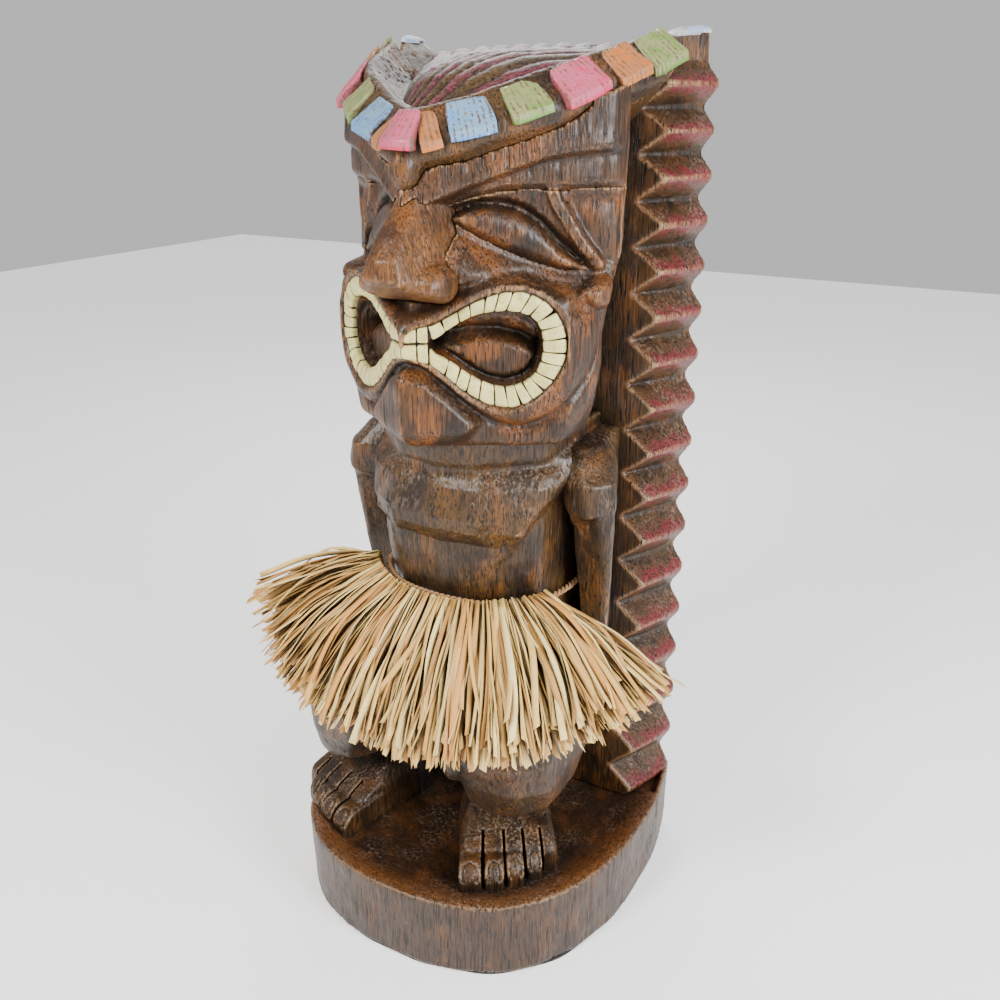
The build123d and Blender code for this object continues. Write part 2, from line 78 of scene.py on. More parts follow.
world = bpy.data.worlds.new("world")
scene.world = world
world.use_nodes = True
sky = world.node_tree.nodes["Background"].inputs
sky["Color"].default_value = (1, 1, 1, 1)
sky["Strength"].default_value = 0.62

floor_mesh = bpy.data.meshes.new("floor")
floor_mesh.from_pydata([(-3, -3, 0), (3, -3, 0), (3, 3, 0), (-3, 3, 0)], [], [(0, 1, 2, 3)])
floor = bpy.data.objects.new("floor", floor_mesh)
scene.collection.objects.link(floor)
chalk = bpy.data.materials.new("pale_floor")
chalk.use_nodes = True
chalk_look = chalk.node_tree.nodes["Principled BSDF"].inputs
chalk_look["Base Color"].default_value = (0.93, 0.93, 0.93, 1)
chalk_look["Roughness"].default_value = 0.9
chalk_look["Emission Color"].default_value = (1, 1, 1, 1)
chalk_look["Emission Strength"].default_value = 0.55
floor_mesh.materials.append(chalk)


# Noise, for the carving's small shapes


def scatter(ix, iy, iz, seed):
    """A number from 0 to 1 for each cell of a lattice, the same each time."""
    n = ix.astype(np.uint32) * np.uint32(73856093)
    n ^= iy.astype(np.uint32) * np.uint32(19349663)
    n ^= iz.astype(np.uint32) * np.uint32(83492791)
    n ^= np.uint32(seed * 2654435761 % 4294967296)
    n = (n ^ (n >> np.uint32(15))) * np.uint32(2246822519)
    n = (n ^ (n >> np.uint32(13))) * np.uint32(3266489917)
    n = n ^ (n >> np.uint32(16))
    return n.astype(np.float64) / 4294967295.0


def noise(p, cell, seed=0):
    """Smooth noise from -1 to 1 at the points p, its cells of the given size in millimetres."""
    q = p / np.asarray(cell, float)
    base = np.floor(q).astype(np.int64)
    f = q - base
    f = f * f * (3 - 2 * f)
    total = np.zeros(len(p))
    for dx in (0, 1):
        for dy in (0, 1):
            for dz in (0, 1):
                weight = (f[:, 0] if dx else 1 - f[:, 0]) * (f[:, 1] if dy else 1 - f[:, 1])
                weight = weight * (f[:, 2] if dz else 1 - f[:, 2])
                total += weight * scatter(base[:, 0] + dx, base[:, 1] + dy, base[:, 2] + dz, seed)
    return 2 * total - 1


def scallops(p, cell, seed=0):
    """Gouge marks: 0 in the middle of each mark, rising to about 0.5 on the ridges between them."""
    q = p / np.asarray(cell, float)
    base = np.floor(q).astype(np.int64)
    best = np.full(len(p), 9.0)
    for dx in (-1, 0, 1):
        for dy in (-1, 0, 1):
            for dz in (-1, 0, 1):
                ix, iy, iz = base[:, 0] + dx, base[:, 1] + dy, base[:, 2] + dz
                d = (ix + scatter(ix, iy, iz, seed) - q[:, 0]) ** 2
                d += (iy + scatter(ix, iy, iz, seed + 1) - q[:, 1]) ** 2
                d += (iz + scatter(ix, iy, iz, seed + 2) - q[:, 2]) ** 2
                best = np.minimum(best, d)
    return best


# Carved solids: distances on an even grid of points, in millimetres, negative inside


def step(x, a, b):
    """A smooth step that is 0 where x is a and 1 where x is b."""
    t = np.clip((x - a) / (b - a), 0, 1)
    return t * t * (3 - 2 * t)


def join(a, b, soft):
    """Either solid, blended over a soft width."""
    h = np.clip(0.5 + 0.5 * (b - a) / soft, 0, 1)
    return b + (a - b) * h - soft * h * (1 - h)


def cut(a, b, soft):
    """Only what is inside both, with a rounded edge between them."""
    return -join(-a, -b, soft)


class Space:
    """An even grid of points. A half space holds x >= 0 and is mirrored when its surface is drawn."""

    def __init__(self, lo, hi, voxel=VOXEL, half=False):
        self.voxel, self.half = voxel, half
        lo = (0.0, *lo[1:]) if half else lo
        self.lo = np.array(lo, float)
        axes = [l + voxel * np.arange(int((h - l) / voxel) + 2, dtype=np.float32) for l, h in zip(lo, hi)]
        self.x, self.y, self.z = axes[0][:, None, None], axes[1][None, :, None], axes[2][None, None, :]

    def surface(self, d):
        """The points and the four-sided faces of the surface where the distance d is zero."""
        lo = self.lo.copy()
        d = np.broadcast_to(d, (self.x.shape[0], self.y.shape[1], self.z.shape[2])).astype(np.float32)
        if self.half:
            lo[0] = -self.voxel * (d.shape[0] - 1)
            d = np.concatenate((d[:0:-1], d))
        edge = 3 * self.voxel
        d = np.pad(np.clip(d, -edge, edge), 2, constant_values=edge)
        grid = openvdb.FloatGrid(edge)
        grid.copyFromArray(np.ascontiguousarray(d))
        points, quads = grid.convertToQuads()
        points = points.astype(float) * self.voxel + (lo - 2 * self.voxel)
        a, b, c = (points[quads[:, i]] for i in (0, 1, 2))
        if (np.cross(a, b) * c).sum() < 0:
            quads = quads[:, ::-1]
        return points, quads


def walls(x, y, outline, soft):
    """How far each point is outside upright walls whose plan is an open outline."""
    out = None
    for (ax, ay), (bx, by) in zip(outline, outline[1:]):
        side = ((x - ax) * (by - ay) - (y - ay) * (bx - ax)) / math.hypot(bx - ax, by - ay)
        if out is None:
            out = side
        else:
            out = cut(out, side, soft) if soft else np.maximum(out, side)
    return out


def block(space, sections, soft, low=None, high=None, back=None, across=None):
    """A block whose plan changes with height: a half plan, or a whole one if across is given."""
    levels = sorted(sections)
    plans = np.array([sections[z] for z in levels], float)
    z = space.z
    x = np.abs(space.x) if across is None else across
    corners = [[np.interp(z, levels, plans[:, i, j]) for j in (0, 1)] for i in range(plans.shape[1])]
    out = None
    for (ax, ay), (bx, by) in zip(corners, corners[1:]):
        dx, dy = bx - ax, by - ay
        side = ((x - ax) * dy - (space.y - ay) * dx) / np.sqrt(dx * dx + dy * dy)
        out = side if out is None else cut(out, side, soft)
    if back is not None:
        out = np.maximum(out, space.y - back)
    if low is not None:
        out = cut(out, low - z, soft)
    if high is not None:
        out = cut(out, z - high, soft)
    return out


def normals_of(points, faces):
    """An outward normal for each point."""
    a, b, c, d = (points[faces[:, i]] for i in range(4))
    flat = np.cross(c - a, d - b)
    total = np.zeros_like(points)
    for i in range(4):
        np.add.at(total, faces[:, i], flat)
    return total / np.maximum(np.linalg.norm(total, axis=1), 1e-9)[:, None]


def grain(points, faces, relief=1.0, seed=0, lie="z", marks=16.0):
    """Works the surface as carved timber: gouge marks, low waves and cracks along the grain."""
    n = normals_of(points, faces)
    run = {"x": (14, 1.7, 1.7), "y": (1.7, 14, 1.7), "z": (1.7, 1.7, 14)}[lie]
    cell = [c * (2.0 if c > 10 else 1.0) for c in run]
    lift = 0.55 * noise(points, 22, seed) + 0.8 * scallops(points, marks, seed + 5)
    lift = lift - 0.75 * step(noise(points, cell, seed + 11), 0.42, 0.75)
    lift = lift + 0.14 * noise(points, run, seed + 12)
    return points + n * (relief * lift)[:, None]


def piece(name, points, faces, node, material, **paint):
    """A mesh object made from points in millimetres, which stands for a CAD node and rides on the body."""
    mesh = bpy.data.meshes.new(name)
    mesh.from_pydata((np.asarray(points) * MM).tolist(), [], np.asarray(faces).tolist())
    mesh.polygons.foreach_set("use_smooth", [True] * len(mesh.polygons))
    for key, values in paint.items():
        layer = mesh.attributes.new(key, "FLOAT", "POINT")
        layer.data.foreach_set("value", np.asarray(values, np.float32))
    mesh.materials.append(material)
    thing = bpy.data.objects.new(name, mesh)
    scene.collection.objects.link(thing)
    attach(thing, "root")
    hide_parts(node)
    return thing


# Finishes


def tint(red, green, blue):
    """A colour given as 0 to 255 the way it looks, as the shader wants it."""

    def linear(c):
        return c / 255 / 12.92 if c < 10.3 else ((c / 255 + 0.055) / 1.055) ** 2.4

    return (linear(red), linear(green), linear(blue), 1.0)


class Finish:
    """A procedural material, put together node by node."""

    def __init__(self, name):
        self.material = bpy.data.materials.new(name)
        self.material.use_nodes = True
        self.tree = self.material.node_tree
        self.shader = self.tree.nodes["Principled BSDF"]
        self.where = self.tree.nodes.new("ShaderNodeTexCoord").outputs["Object"]
        normal = self.tree.nodes.new("ShaderNodeNewGeometry")
        self.pointed = normal.outputs["Pointiness"]
        self.facing = self.node("ShaderNodeSeparateXYZ", {0: normal.outputs["Normal"]})

    def node(self, kind, sockets, **settings):
        made = self.tree.nodes.new(kind)
        for key, value in settings.items():
            setattr(made, key, value)
        for key, value in sockets.items():
            if isinstance(value, bpy.types.NodeSocket):
                self.tree.links.new(value, made.inputs[key])
            else:
                made.inputs[key].default_value = value
        return made

    def speckle(self, cell, detail=2.0, shift=0.0):
        """Noise from 0 to 1, its cells of the given size in millimetres."""
        scale = [1000 / c for c in cell]
        sockets = {"Vector": self.where, "Scale": scale, "Location": (shift, shift, shift)}
        placed = self.node("ShaderNodeMapping", sockets)
        sockets = {"Vector": placed.outputs[0], "Scale": 1.0, "Detail": detail}
        return self.node("ShaderNodeTexNoise", sockets).outputs["Fac"]

    def band(self, value, low, high):
        """0 where the value is low and 1 where it is high, smoothly."""
        sockets = {0: value, 1: low, 2: high, 3: 0.0, 4: 1.0}
        made = self.node("ShaderNodeMapRange", sockets, interpolation_type="SMOOTHSTEP")
        return made.outputs[0]

    def sum(self, operation, a, b):
        return self.node("ShaderNodeMath", {0: a, 1: b}, operation=operation).outputs[0]

    def times(self, a, b):
        return self.sum("MULTIPLY", a, b)

    def mix(self, amount, a, b, blend="MIX"):
        made = self.node("ShaderNodeMix", {0: amount, 6: a, 7: b}, data_type="RGBA", blend_type=blend)
        return made.outputs[2]

    def ramp(self, value, stops):
        made = self.node("ShaderNodeValToRGB", {0: value})
        ramp = made.color_ramp
        while len(ramp.elements) < len(stops):
            ramp.elements.new(0.5)
        for element, (place, colour) in zip(ramp.elements, stops):
            element.position = place
            element.color = colour
        return made.outputs[0]

    def layer(self, name):
        """A value stored on the mesh's points."""
        return self.node("ShaderNodeAttribute", {}, attribute_name=name).outputs["Fac"]

    def hollow(self, reach):
        """Ambient occlusion, used to paint shade: 0 deep in a crevice and 1 in the open."""
        return self.node("ShaderNodeAmbientOcclusion", {"Distance": reach * MM}, samples=6).outputs["AO"]

    def finish(self, colour, rough, height=None, depth=0.4, coat=0.0):
        self.tree.links.new(colour, self.shader.inputs["Base Color"])
        if isinstance(rough, bpy.types.NodeSocket):
            self.tree.links.new(rough, self.shader.inputs["Roughness"])
        else:
            self.shader.inputs["Roughness"].default_value = rough
        self.shader.inputs["Coat Weight"].default_value = coat
        self.shader.inputs["Coat Roughness"].default_value = 0.25
        if height is not None:
            bump = self.node("ShaderNodeBump", {"Height": height, "Distance": depth * MM, "Strength": 1.0})
            self.tree.links.new(bump.outputs[0], self.shader.inputs["Normal"])
        return self.material


DEEP = (52, 33, 20)
ASH_AND_TOP_HIGHLIGHT = tint(142, 122, 106)
BLACK = tint(13, 8, 4)
VARNISH = (0.54, 0.42, 0.215, 1.0)


def timber(name, stains, ash_and_top_highlight=0.35, lie="z", crack=1.0, dyed=None):
    """Antiqued wood: blotched staining, black cracks along the grain, painted shade in crevices and hollows,
    worn edges, and grey dust mixed with a painted highlight on the surfaces that face up.

    The stains are the deep, the body, the warm and the worn one.
    """
    f = Finish(name)
    deep, body, warm, worn = (tuple(c * k for c, k in zip(tint(*each), VARNISH)) for each in stains)
    along = {"x": 0, "y": 1, "z": 2}[lie]

    def run(short, long):
        return [long if i == along else short for i in range(3)]

    blotch = f.speckle(run(26, 48), 3.0)
    colour = f.ramp(blotch, [(0.32, deep), (0.5, body), (0.66, warm)])
    patch = f.speckle(run(20, 30), 2.0, 3.1)
    colour = f.mix(f.times(f.band(patch, 0.50, 0.66), 0.75), colour, worn)
    if dyed is not None:
        colour = dyed(f, colour)
    streak = f.speckle(run(1.5, 34), 3.0, 7.7)
    fibres = f.ramp(streak, [(0.3, tint(138, 130, 122)), (0.68, tint(255, 252, 246))])
    colour = f.mix(0.75, colour, fibres, "MULTIPLY")
    # Grey dust with a painted highlight: the pale grey goes only on surfaces that face up.
    lit = f.band(f.facing.outputs["Z"], -0.25, 0.85)
    dry = f.speckle(run(2.2, 7), 4.0, 11.3)
    dust_and_top_highlight = f.times(f.band(f.speckle(run(30, 40), 2.0, 5.0), 0.4, 0.62), lit)
    amount = f.times(f.band(dry, 0.46, 0.66), dust_and_top_highlight)
    colour = f.mix(f.times(amount, ash_and_top_highlight), colour, ASH_AND_TOP_HIGHLIGHT)
    edge = f.band(f.pointed, 0.515, 0.57)
    colour = f.mix(f.times(edge, 0.8), colour, f.mix(0.45, worn, tint(206, 168, 122)))
    # Painted shade: black in sharp creases and in deep hollows, from pointiness and ambient occlusion.
    crevice = f.band(f.pointed, 0.495, 0.43)
    shade = f.times(f.band(f.hollow(15), 0.80, 0.20), 0.78)
    colour = f.mix(f.sum("MAXIMUM", shade, f.times(crevice, 0.85)), colour, BLACK)
    deep_crack = f.band(f.speckle(run(1.0, 24), 1.0, 17.0), 0.60, 0.63)
    fine_crack = f.band(f.speckle(run(0.6, 10), 1.0, 23.0), 0.615, 0.65)
    cracks = f.times(f.sum("MAXIMUM", deep_crack, f.times(fine_crack, 0.8)), crack)
    colour = f.mix(cracks, colour, BLACK)
    height = f.sum("SUBTRACT", f.times(streak, 0.5), cracks)
    height = f.sum("ADD", height, f.times(dry, 0.5))
    rough = f.sum("ADD", f.times(f.speckle((5, 5, 9), 2.0, 29.0), 0.3), 0.30)
    f.shader.inputs["Specular IOR Level"].default_value = 0.38
    return f.finish(colour, rough, height, 0.75, 0.16)


def painted(name, colour, fresh):
    """Chalky paint over carved wood, rubbed through along the grain and brighter at the fresh lower lip, with
    a painted highlight on its sharp edges and painted shade in its recesses.
    """
    f = Finish(name)
    wood = f.ramp(f.speckle((4, 4, 4), 2.0), [(0.35, tint(86, 66, 48)), (0.65, tint(128, 104, 80))])
    bright = f.times(f.band(f.speckle((9, 9, 9), 3.0, 2.0), 0.45, 0.7), 0.6)
    coat = f.mix(f.sum("MAXIMUM", f.layer("lip"), bright), colour, fresh)
    streaks = f.speckle((1.7, 1.7, 1.7), 3.0, 4.0)
    rubbed = f.sum("ADD", f.times(streaks, 0.6), f.times(f.layer("lines"), 0.5))
    rubbed = f.band(rubbed, 0.53, 0.66)
    shown = f.mix(rubbed, coat, wood)
    # Painted highlight: near-white on the sharp convex edges.
    shown = f.mix(f.times(f.band(f.pointed, 0.52, 0.58), 0.6), shown, tint(228, 208, 196))
    # Painted shade: dark brown in the recesses, from ambient occlusion.
    shown = f.mix(f.times(f.band(f.hollow(7), 0.9, 0.3), 0.85), shown, tint(52, 34, 22))
    shown = f.mix(f.times(f.band(f.layer("lines"), 0.70, 0.86), 0.85), shown, tint(52, 34, 26))
    height = f.sum("SUBTRACT", streaks, f.layer("lines"))
    return f.finish(shown, 0.5, height, 0.5, 0.15)


# Face: two flat cheeks that meet at a prow. u runs back along a cheek, v is up and w is out of it.
RUN = (0.8437, 0.5369)
PROW_Y = -71.5
CHEEK_END = 99
HEAD_TOP = 541
NOSE_TOP = 551
RELIEF_STEP = 0.6


def from_cheek(u, v, w):
    """Points of the figure's left cheek, where the centre line can't be crossed."""
    u = np.maximum(u, (0.25 - RUN[1] * w) / RUN[0])
    x = RUN[0] * u + RUN[1] * w
    y = PROW_Y + RUN[1] * u - RUN[0] * w
    return np.stack([x, y, v], axis=-1)


RING_OUTER = [
    (-4, 430), (-1, 441), (7, 447.5), (16.5, 450), (29, 457), (46, 466), (65, 470.5), (82, 465.5),
    (93.5, 453), (98, 438), (95, 423), (86, 409.5), (69, 397.5), (51.5, 398.5), (35, 408), (22, 419.5),
    (10.5, 428.5),
]
RING_INNER = [
    (13, 434), (14, 437), (15.5, 438.5), (19, 442), (27, 448), (40, 455), (57, 458), (72, 456), (80.5, 449),
    (83, 436.5), (81, 424), (74.5, 415.5), (63.5, 411), (52.5, 412), (39.5, 418), (26.5, 428), (18, 432),
]
LIP = [
    (-12, 428), (5, 426.5), (20, 415), (35, 401), (51.5, 388.5), (68, 384.5), (85, 389), (101, 402.5),
    (112, 416), (117, 429), (118, 448), (111, 460), (98, 468), (92, 467), (80, 473), (66, 476),
    (47, 473.5), (27, 466), (14, 458), (-12, 450),
]
CHIN = [
    (-60, 364), (-60, 402), (-12, 403), (-9, 417), (-4, 422), (10, 419.5), (24, 408), (37, 396),
    (46, 388), (38, 380), (22, 364),
]
LOWER_LID = [
    (0, 520), (29, 507.5), (43, 499.5), (60, 491), (76.5, 484), (95.5, 478.5), (113, 477),
    (150, 476),
]
LOWER_FOLD = [(0, 516), (29.5, 503.5), (46, 493), (67, 484.5), (86, 479.5), (99, 477), (150, 474)]
UPPER_LID = [
    (18, 506), (28, 511), (40, 515.5), (52, 516.5), (67, 513), (79, 506.5), (88, 497.5), (94, 490),
    (112, 479), (150, 474),
]
LID_HOLLOW = [
    (18, 509), (27, 513.5), (46, 518.5), (61.5, 518.5), (74, 514.5), (86, 505.5), (97, 494.5),
    (110, 484), (150, 476),
]
FOLD_LOW = [
    (0, 509), (14, 513), (23, 516.5), (43, 522), (60, 525), (74, 525.5), (94, 525), (111, 526),
    (150, 526),
]
FOLD_TOP = [
    (0, 512), (14, 516), (22, 519), (46, 528), (67, 535), (85, 541), (98, 543), (112, 544.5),
    (134, 547), (150, 548),
]
EYE_ENDS = (27, 112)
WISHBONE = [(89, 524), (91, 518), (101, 503), (111, 488.5), (118, 481)]
TEMPLE_PANEL = [(97, 521), (130.5, 522), (132, 497), (131, 478), (121, 482.5), (113, 491), (104.5, 504)]


def outline_distance(u, v, outline):
    """How far each point is outside a closed outline, negative inside."""
    far = np.full(u.shape, 1e9)
    inside = np.zeros(u.shape, bool)
    for (au, av), (bu, bv) in zip(outline, outline[1:] + outline[:1]):
        du, dv = bu - au, bv - av
        t = np.clip(((u - au) * du + (v - av) * dv) / (du * du + dv * dv), 0, 1)
        far = np.minimum(far, (u - au - t * du) ** 2 + (v - av - t * dv) ** 2)
        crosses = (av > v) != (bv > v)
        if dv:
            inside ^= crosses & (u < au + du * (v - av) / dv)
    far = np.sqrt(far)
    return np.where(inside, -far, far)


def line_distance(u, v, line):
    """How far each point is from an open line."""
    far = np.full(u.shape, 1e9)
    for (au, av), (bu, bv) in zip(line, line[1:]):
        du, dv = bu - au, bv - av
        t = np.clip(((u - au) * du + (v - av) * dv) / (du * du + dv * dv), 0, 1)
        far = np.minimum(far, np.hypot(u - au - t * du, v - av - t * dv))
    return far


def cut_corners(path):
    """Two points on each run of a path, which cuts each of its corners once."""
    out = []
    for (au, av), (bu, bv) in zip(path, path[1:]):
        out += [(0.75 * au + 0.25 * bu, 0.75 * av + 0.25 * bv)]
        out += [(0.25 * au + 0.75 * bu, 0.25 * av + 0.75 * bv)]
    return out


def rounded(outline):
    """A closed outline with its corners cut once, which rounds it."""
    return cut_corners(outline + outline[:1])


def cheek_relief(us, vs):
    """How far the carving stands out of the cheek, and how far outside the eye and the brow each point is."""
    u, v = np.meshgrid(us, vs, indexing="ij")

    def above(line):
        return v - np.interp(u, [p[0] for p in line], [p[1] for p in line])

    def groove(d, wide):
        return np.exp(-((d / wide) ** 2))

    lower, lower_fold, upper = above(LOWER_LID), above(LOWER_FOLD), above(UPPER_LID)
    lid_hollow, fold_low, fold_top = above(LID_HOLLOW), above(FOLD_LOW), above(FOLD_TOP)
    socket = -10 - 0.11 * u
    upper_face = step(lower, -26, -1)
    past_cheek = np.maximum(u - CHEEK_END, 0)
    rounding = 0.5 * past_cheek + 0.012 * past_cheek**2
    h = socket * upper_face - (1 - upper_face) * rounding

    # Jaw and chin
    lip = outline_distance(u, v, rounded(LIP))
    h = h - 4 * step(v, 400, 384)
    h = h + (8.5 - h) * step(outline_distance(u, v, CHIN), 3.5, -6.0) * step(v, 364, 386)

    # Lips, with a crease all round them
    ring_out = outline_distance(u, v, rounded(RING_OUTER))
    ring_in = outline_distance(u, v, rounded(RING_INNER))
    share = np.clip(-lip / np.maximum(-lip + np.maximum(ring_out, 0), 1e-3), 0, 1)
    roll = -4 + 9.5 * np.sqrt(1 - (1 - share) ** 2)
    h = np.where(lip < 0, roll - rounding, h - 4 * groove(lip, 3.5))
    h = np.where((lip > 0) & (u < 14) & (v > 447), np.minimum(h, -5.0), h)

    # Mouth: a seat for the teeth, and a hollow with a lid over a swelling
    h = np.where(ring_out < 0, 0.6, h)
    lid_line = above([(13, 438), (25, 444), (40, 447), (55, 447), (70, 443), (82, 436)])
    over_lid = -6.5 - 5.5 * step(lid_line, 9, 0)
    boss = -19 + 11.5 * step(-lid_line, 2.0, 11) - 5 * step(ring_in, -5, 0)
    h = np.where(ring_in < 0, np.where(lid_line > 0, over_lid, boss), h)
    h = h - 3.5 * groove(ring_in + 1.2, 1.2)

    # Eye: two folds under it, the almond, and a deep hollow over it
    h = h - 2.2 * groove(lower, 1.3) * (upper < 0) - 2.0 * groove(lower_fold, 1.2) * (u < 104)
    span = np.maximum(lower - upper, 1)
    across = np.clip(lower / span, 0, 1)
    ends = step(u, EYE_ENDS[0] - 2, EYE_ENDS[0] + 10) * step(u, EYE_ENDS[1], EYE_ENDS[1] - 14)
    almond = socket - 1.5 + (1.5 + 5.5 * ends) * np.clip(4 * across * (1 - across), 0, 1) ** 0.55
    in_eye = (lower > 0) & (upper < 0) & (u > EYE_ENDS[0]) & (u < EYE_ENDS[1])
    h = np.where(in_eye, almond, h)
    h = np.where((upper >= 0) & (fold_low < 2), socket - 1.0 + 2.0 * step(lid_hollow, 0, 5), h)
    h = h - 6.5 * step(upper, -0.5, 0.8) * step(lid_hollow, 0.9, -0.5) * step(u, 20, 30) * step(u, 116, 104)

    # Wishbone ridges and the temple's panel
    wishbone = line_distance(u, v, WISHBONE)
    h = h + 4.0 * step(wishbone, 5.0, 2.6) * (fold_low < 3) - 1.6 * groove(wishbone, 0.9) * (fold_low < 0)
    panel = outline_distance(u, v, TEMPLE_PANEL)
    h = h - 3.2 * step(panel, 0.8, -2.0) + 1.6 * step(panel, -2.0, -12.0)

    # Knob of the cheek, with a pit below it
    knob = ((u - 119) / 14) ** 2 + ((v - 464) / 8) ** 2
    h = np.where(knob < 1, np.maximum(h, -13 + 9.5 * np.sqrt(np.maximum(1 - knob, 0))), h)
    h = h - 5 * np.exp(-(((u - 105) / 6) ** 2) - ((v - 457) / 4.5) ** 2)

    # Brow: a narrow fold, and a heavy band above it
    h = h + step(fold_low, 0, 3) * (socket + 6.0 - h)
    h = h + step(fold_top, -0.5, 2.5) * (socket + 10.0 + 1.5 * groove(fold_top - 5, 5) - h)
    h = h - 2.6 * groove(fold_top, 1.4)
    h = h - 5 * step(u, 20, 8) * step(v, 526, 538)

    for axis in (0, 1, 0, 1):
        h = (np.roll(h, 1, axis) + 2 * h + np.roll(h, -1, axis)) / 4
    eye = np.maximum(np.maximum(-lower, upper), np.maximum(EYE_ENDS[0] - u, u - EYE_ENDS[1]))
    return h, eye, -fold_low


NOSE = {
    462: [(0, -84), (13, -81), (22, -70), (24, -52), (24, -30)],
    468: [(0, -94), (15, -90), (22, -76), (24, -56), (24, -30)],
    478: [(0, -99), (13, -96), (19, -80), (22, -58), (24, -30)],
    490: [(0, -98), (10, -95), (15, -79), (20, -56), (22, -30)],
    502: [(0, -88), (9, -86), (13, -72), (18, -50), (20, -26)],
    516: [(0, -73), (8, -71), (12, -58), (17, -40), (18, -20)],
    532: [(0, -60), (9, -58), (13, -47), (16, -35), (16, -16)],
    546: [(0, -60), (10, -57), (15, -45), (18, -33), (18, -14)],
}
RIM = [(0, -76), (16, -66), (38, -52), (62, -32), (84, -8), (99, 28), (111, 62)]
RIM_SLOPE = 0.39
PROW_Z = 552


def rim_height(x, y):
    """The height of the rim's middle line, which rises towards the board and levels off beside it."""
    return PROW_Z + RIM_SLOPE * (y - RIM[0][1]) + 3 * step(x, 22, 50) - 7 * step(y, 0, 62)


def canopy(space):
    """The headdress's rim: a chamfered edge over an undercut, round a dished top."""
    x, y, z = np.abs(space.x), space.y, space.z
    d = walls(x, y, RIM, 5)
    s = z - rim_height(x, y)
    dish = 4 - 0.12 * (y - RIM[0][1])
    top = np.minimum(-3.5 - d * 1.05, 9.5)
    inner = 9.5 + 1.15 * (d + 17)
    top = np.minimum(top, np.maximum(inner, dish))
    upper = (s - top) / 1.35
    under = (-13 + 1.1 * d - s) / 1.48
    knob = np.sqrt((x / 8.5) ** 2 + ((y + 66) / 9.5) ** 2 + ((z - PROW_Z + 15) / 11) ** 2)
    return join(cut(cut(d, upper, 3), under, 2.5), (knob - 1) * 9, 3)


def face():
    """The head, the brow, the eyes and the nose, cut from one carved field."""
    space = Space((0, -106, 362), (108, 64, 606), voxel=max(VOXEL, 1.42), half=True)
    us = np.arange(-40, 170, RELIEF_STEP)
    vs = space.z[0, 0, :].astype(float)
    relief, eye, brow = cheek_relief(us, vs)
    slope = np.hypot(*np.gradient(relief, RELIEF_STEP, space.voxel))
    u = RUN[0] * space.x + RUN[1] * (space.y - PROW_Y)
    w = RUN[1] * space.x - RUN[0] * (space.y - PROW_Y)
    place = np.clip((u[:, :, 0] - us[0]) / RELIEF_STEP, 0, len(us) - 1.001)
    low = place.astype(int)
    part = (place - low)[:, :, None].astype(np.float32)

    def across(values):
        values = values.astype(np.float32)
        return values[low] * (1 - part) + values[low + 1] * part

    front = (w - across(relief)) / np.sqrt(1 + np.minimum(across(slope), 4) ** 2)
    wide = np.interp(space.z, [362, 372, 398, 418, 443, 461, 486, 606], [68, 79, 90, 95, 97, 98, 99, 98])
    turned = np.interp(space.z, [372, 400, 438, 470, 487, 560], [20, 8, 0, 10, 20, 26])
    solid = cut(front, (space.x - wide + 0.44 * np.maximum(space.y - turned, 0)) / 1.05, 5)
    solid = cut(solid, 371 - 0.04 * (space.y + 60) - space.z, 7)
    nose = block(space, NOSE, 3.0, low=461)
    wing = np.sqrt(((space.x - 19) / 11.5) ** 2 + ((space.y + 67) / 17) ** 2 + ((space.z - 473) / 12) ** 2)
    nose = join(nose, (wing - 1) * 11, 1.8)
    nose = cut(nose, (space.z - 461) * -0.9 - (space.y + 62) * 0.42, 4)
    lid = canopy(space)
    eye_part = np.maximum(across(eye), -solid - 11)
    brow_part = np.maximum(across(brow), -solid - 20)
    head = np.maximum(np.maximum(solid, -eye_part), np.maximum(-brow_part, space.z - HEAD_TOP))
    head = np.maximum(np.maximum(head, space.y - BOARD_FACE), -nose + 0.2)
    brow = np.maximum(np.maximum(solid, brow_part - 0.3), np.maximum(space.y - BOARD_FACE, 0.3 - lid))
    brow = np.maximum(np.maximum(brow, 0.3 - nose), space.z - rim_height(space.x, space.y) + 8)
    eyes = np.maximum(np.maximum(solid, eye_part - 0.3), 0.3 - nose)
    nose = np.maximum(np.maximum(nose, 0.3 - lid), np.maximum(space.y + 20, space.z - NOSE_TOP))
    return space, {"head": head, "brow": brow, "eyes": eyes, "nose": nose}


wood_face = timber(
    "wood_face",
    (DEEP, (96, 68, 44), (128, 88, 50), (176, 118, 66)),
    ash_and_top_highlight=0.36,
)
wood_nose = timber(
    "wood_nose",
    ((88, 60, 34), (134, 92, 52), (168, 122, 72), (192, 134, 78)),
    ash_and_top_highlight=0.4, crack=0.7,
)

space, parts = face()
for name, seed, marks in (("head", 3, 17), ("brow", 4, 15), ("nose", 6, 19)):
    points, faces = space.surface(parts[name])
    points = grain(points, faces, 0.75, seed, marks=marks)
    piece(f"{name}_carved", points, faces, name, wood_nose if name == "nose" else wood_face)
points, faces = space.surface(parts["eyes"])
points = grain(points, faces, 0.45, 5)
right = points[faces].mean(axis=1)[:, 0] < 0
for side, chosen in (("left", ~right), ("right", right)):
    used, where = np.unique(faces[chosen], return_inverse=True)
    piece(f"eye_{side}_carved", points[used], where.reshape(-1, 4), f"eye_{side}", wood_face)


# Teeth: a ring of tiles round each half of the mouth


def along(path, share):
    """The point a share of the way along a path whose corners are cut once."""
    corners = np.array([path[0], *cut_corners(path), path[-1]], float)
    run = np.concatenate(([0], np.cumsum(np.hypot(*np.diff(corners, axis=0).T))))
    run /= run[-1]
    return np.stack([np.interp(share, run, corners[:, i]) for i in (0, 1)], axis=-1)


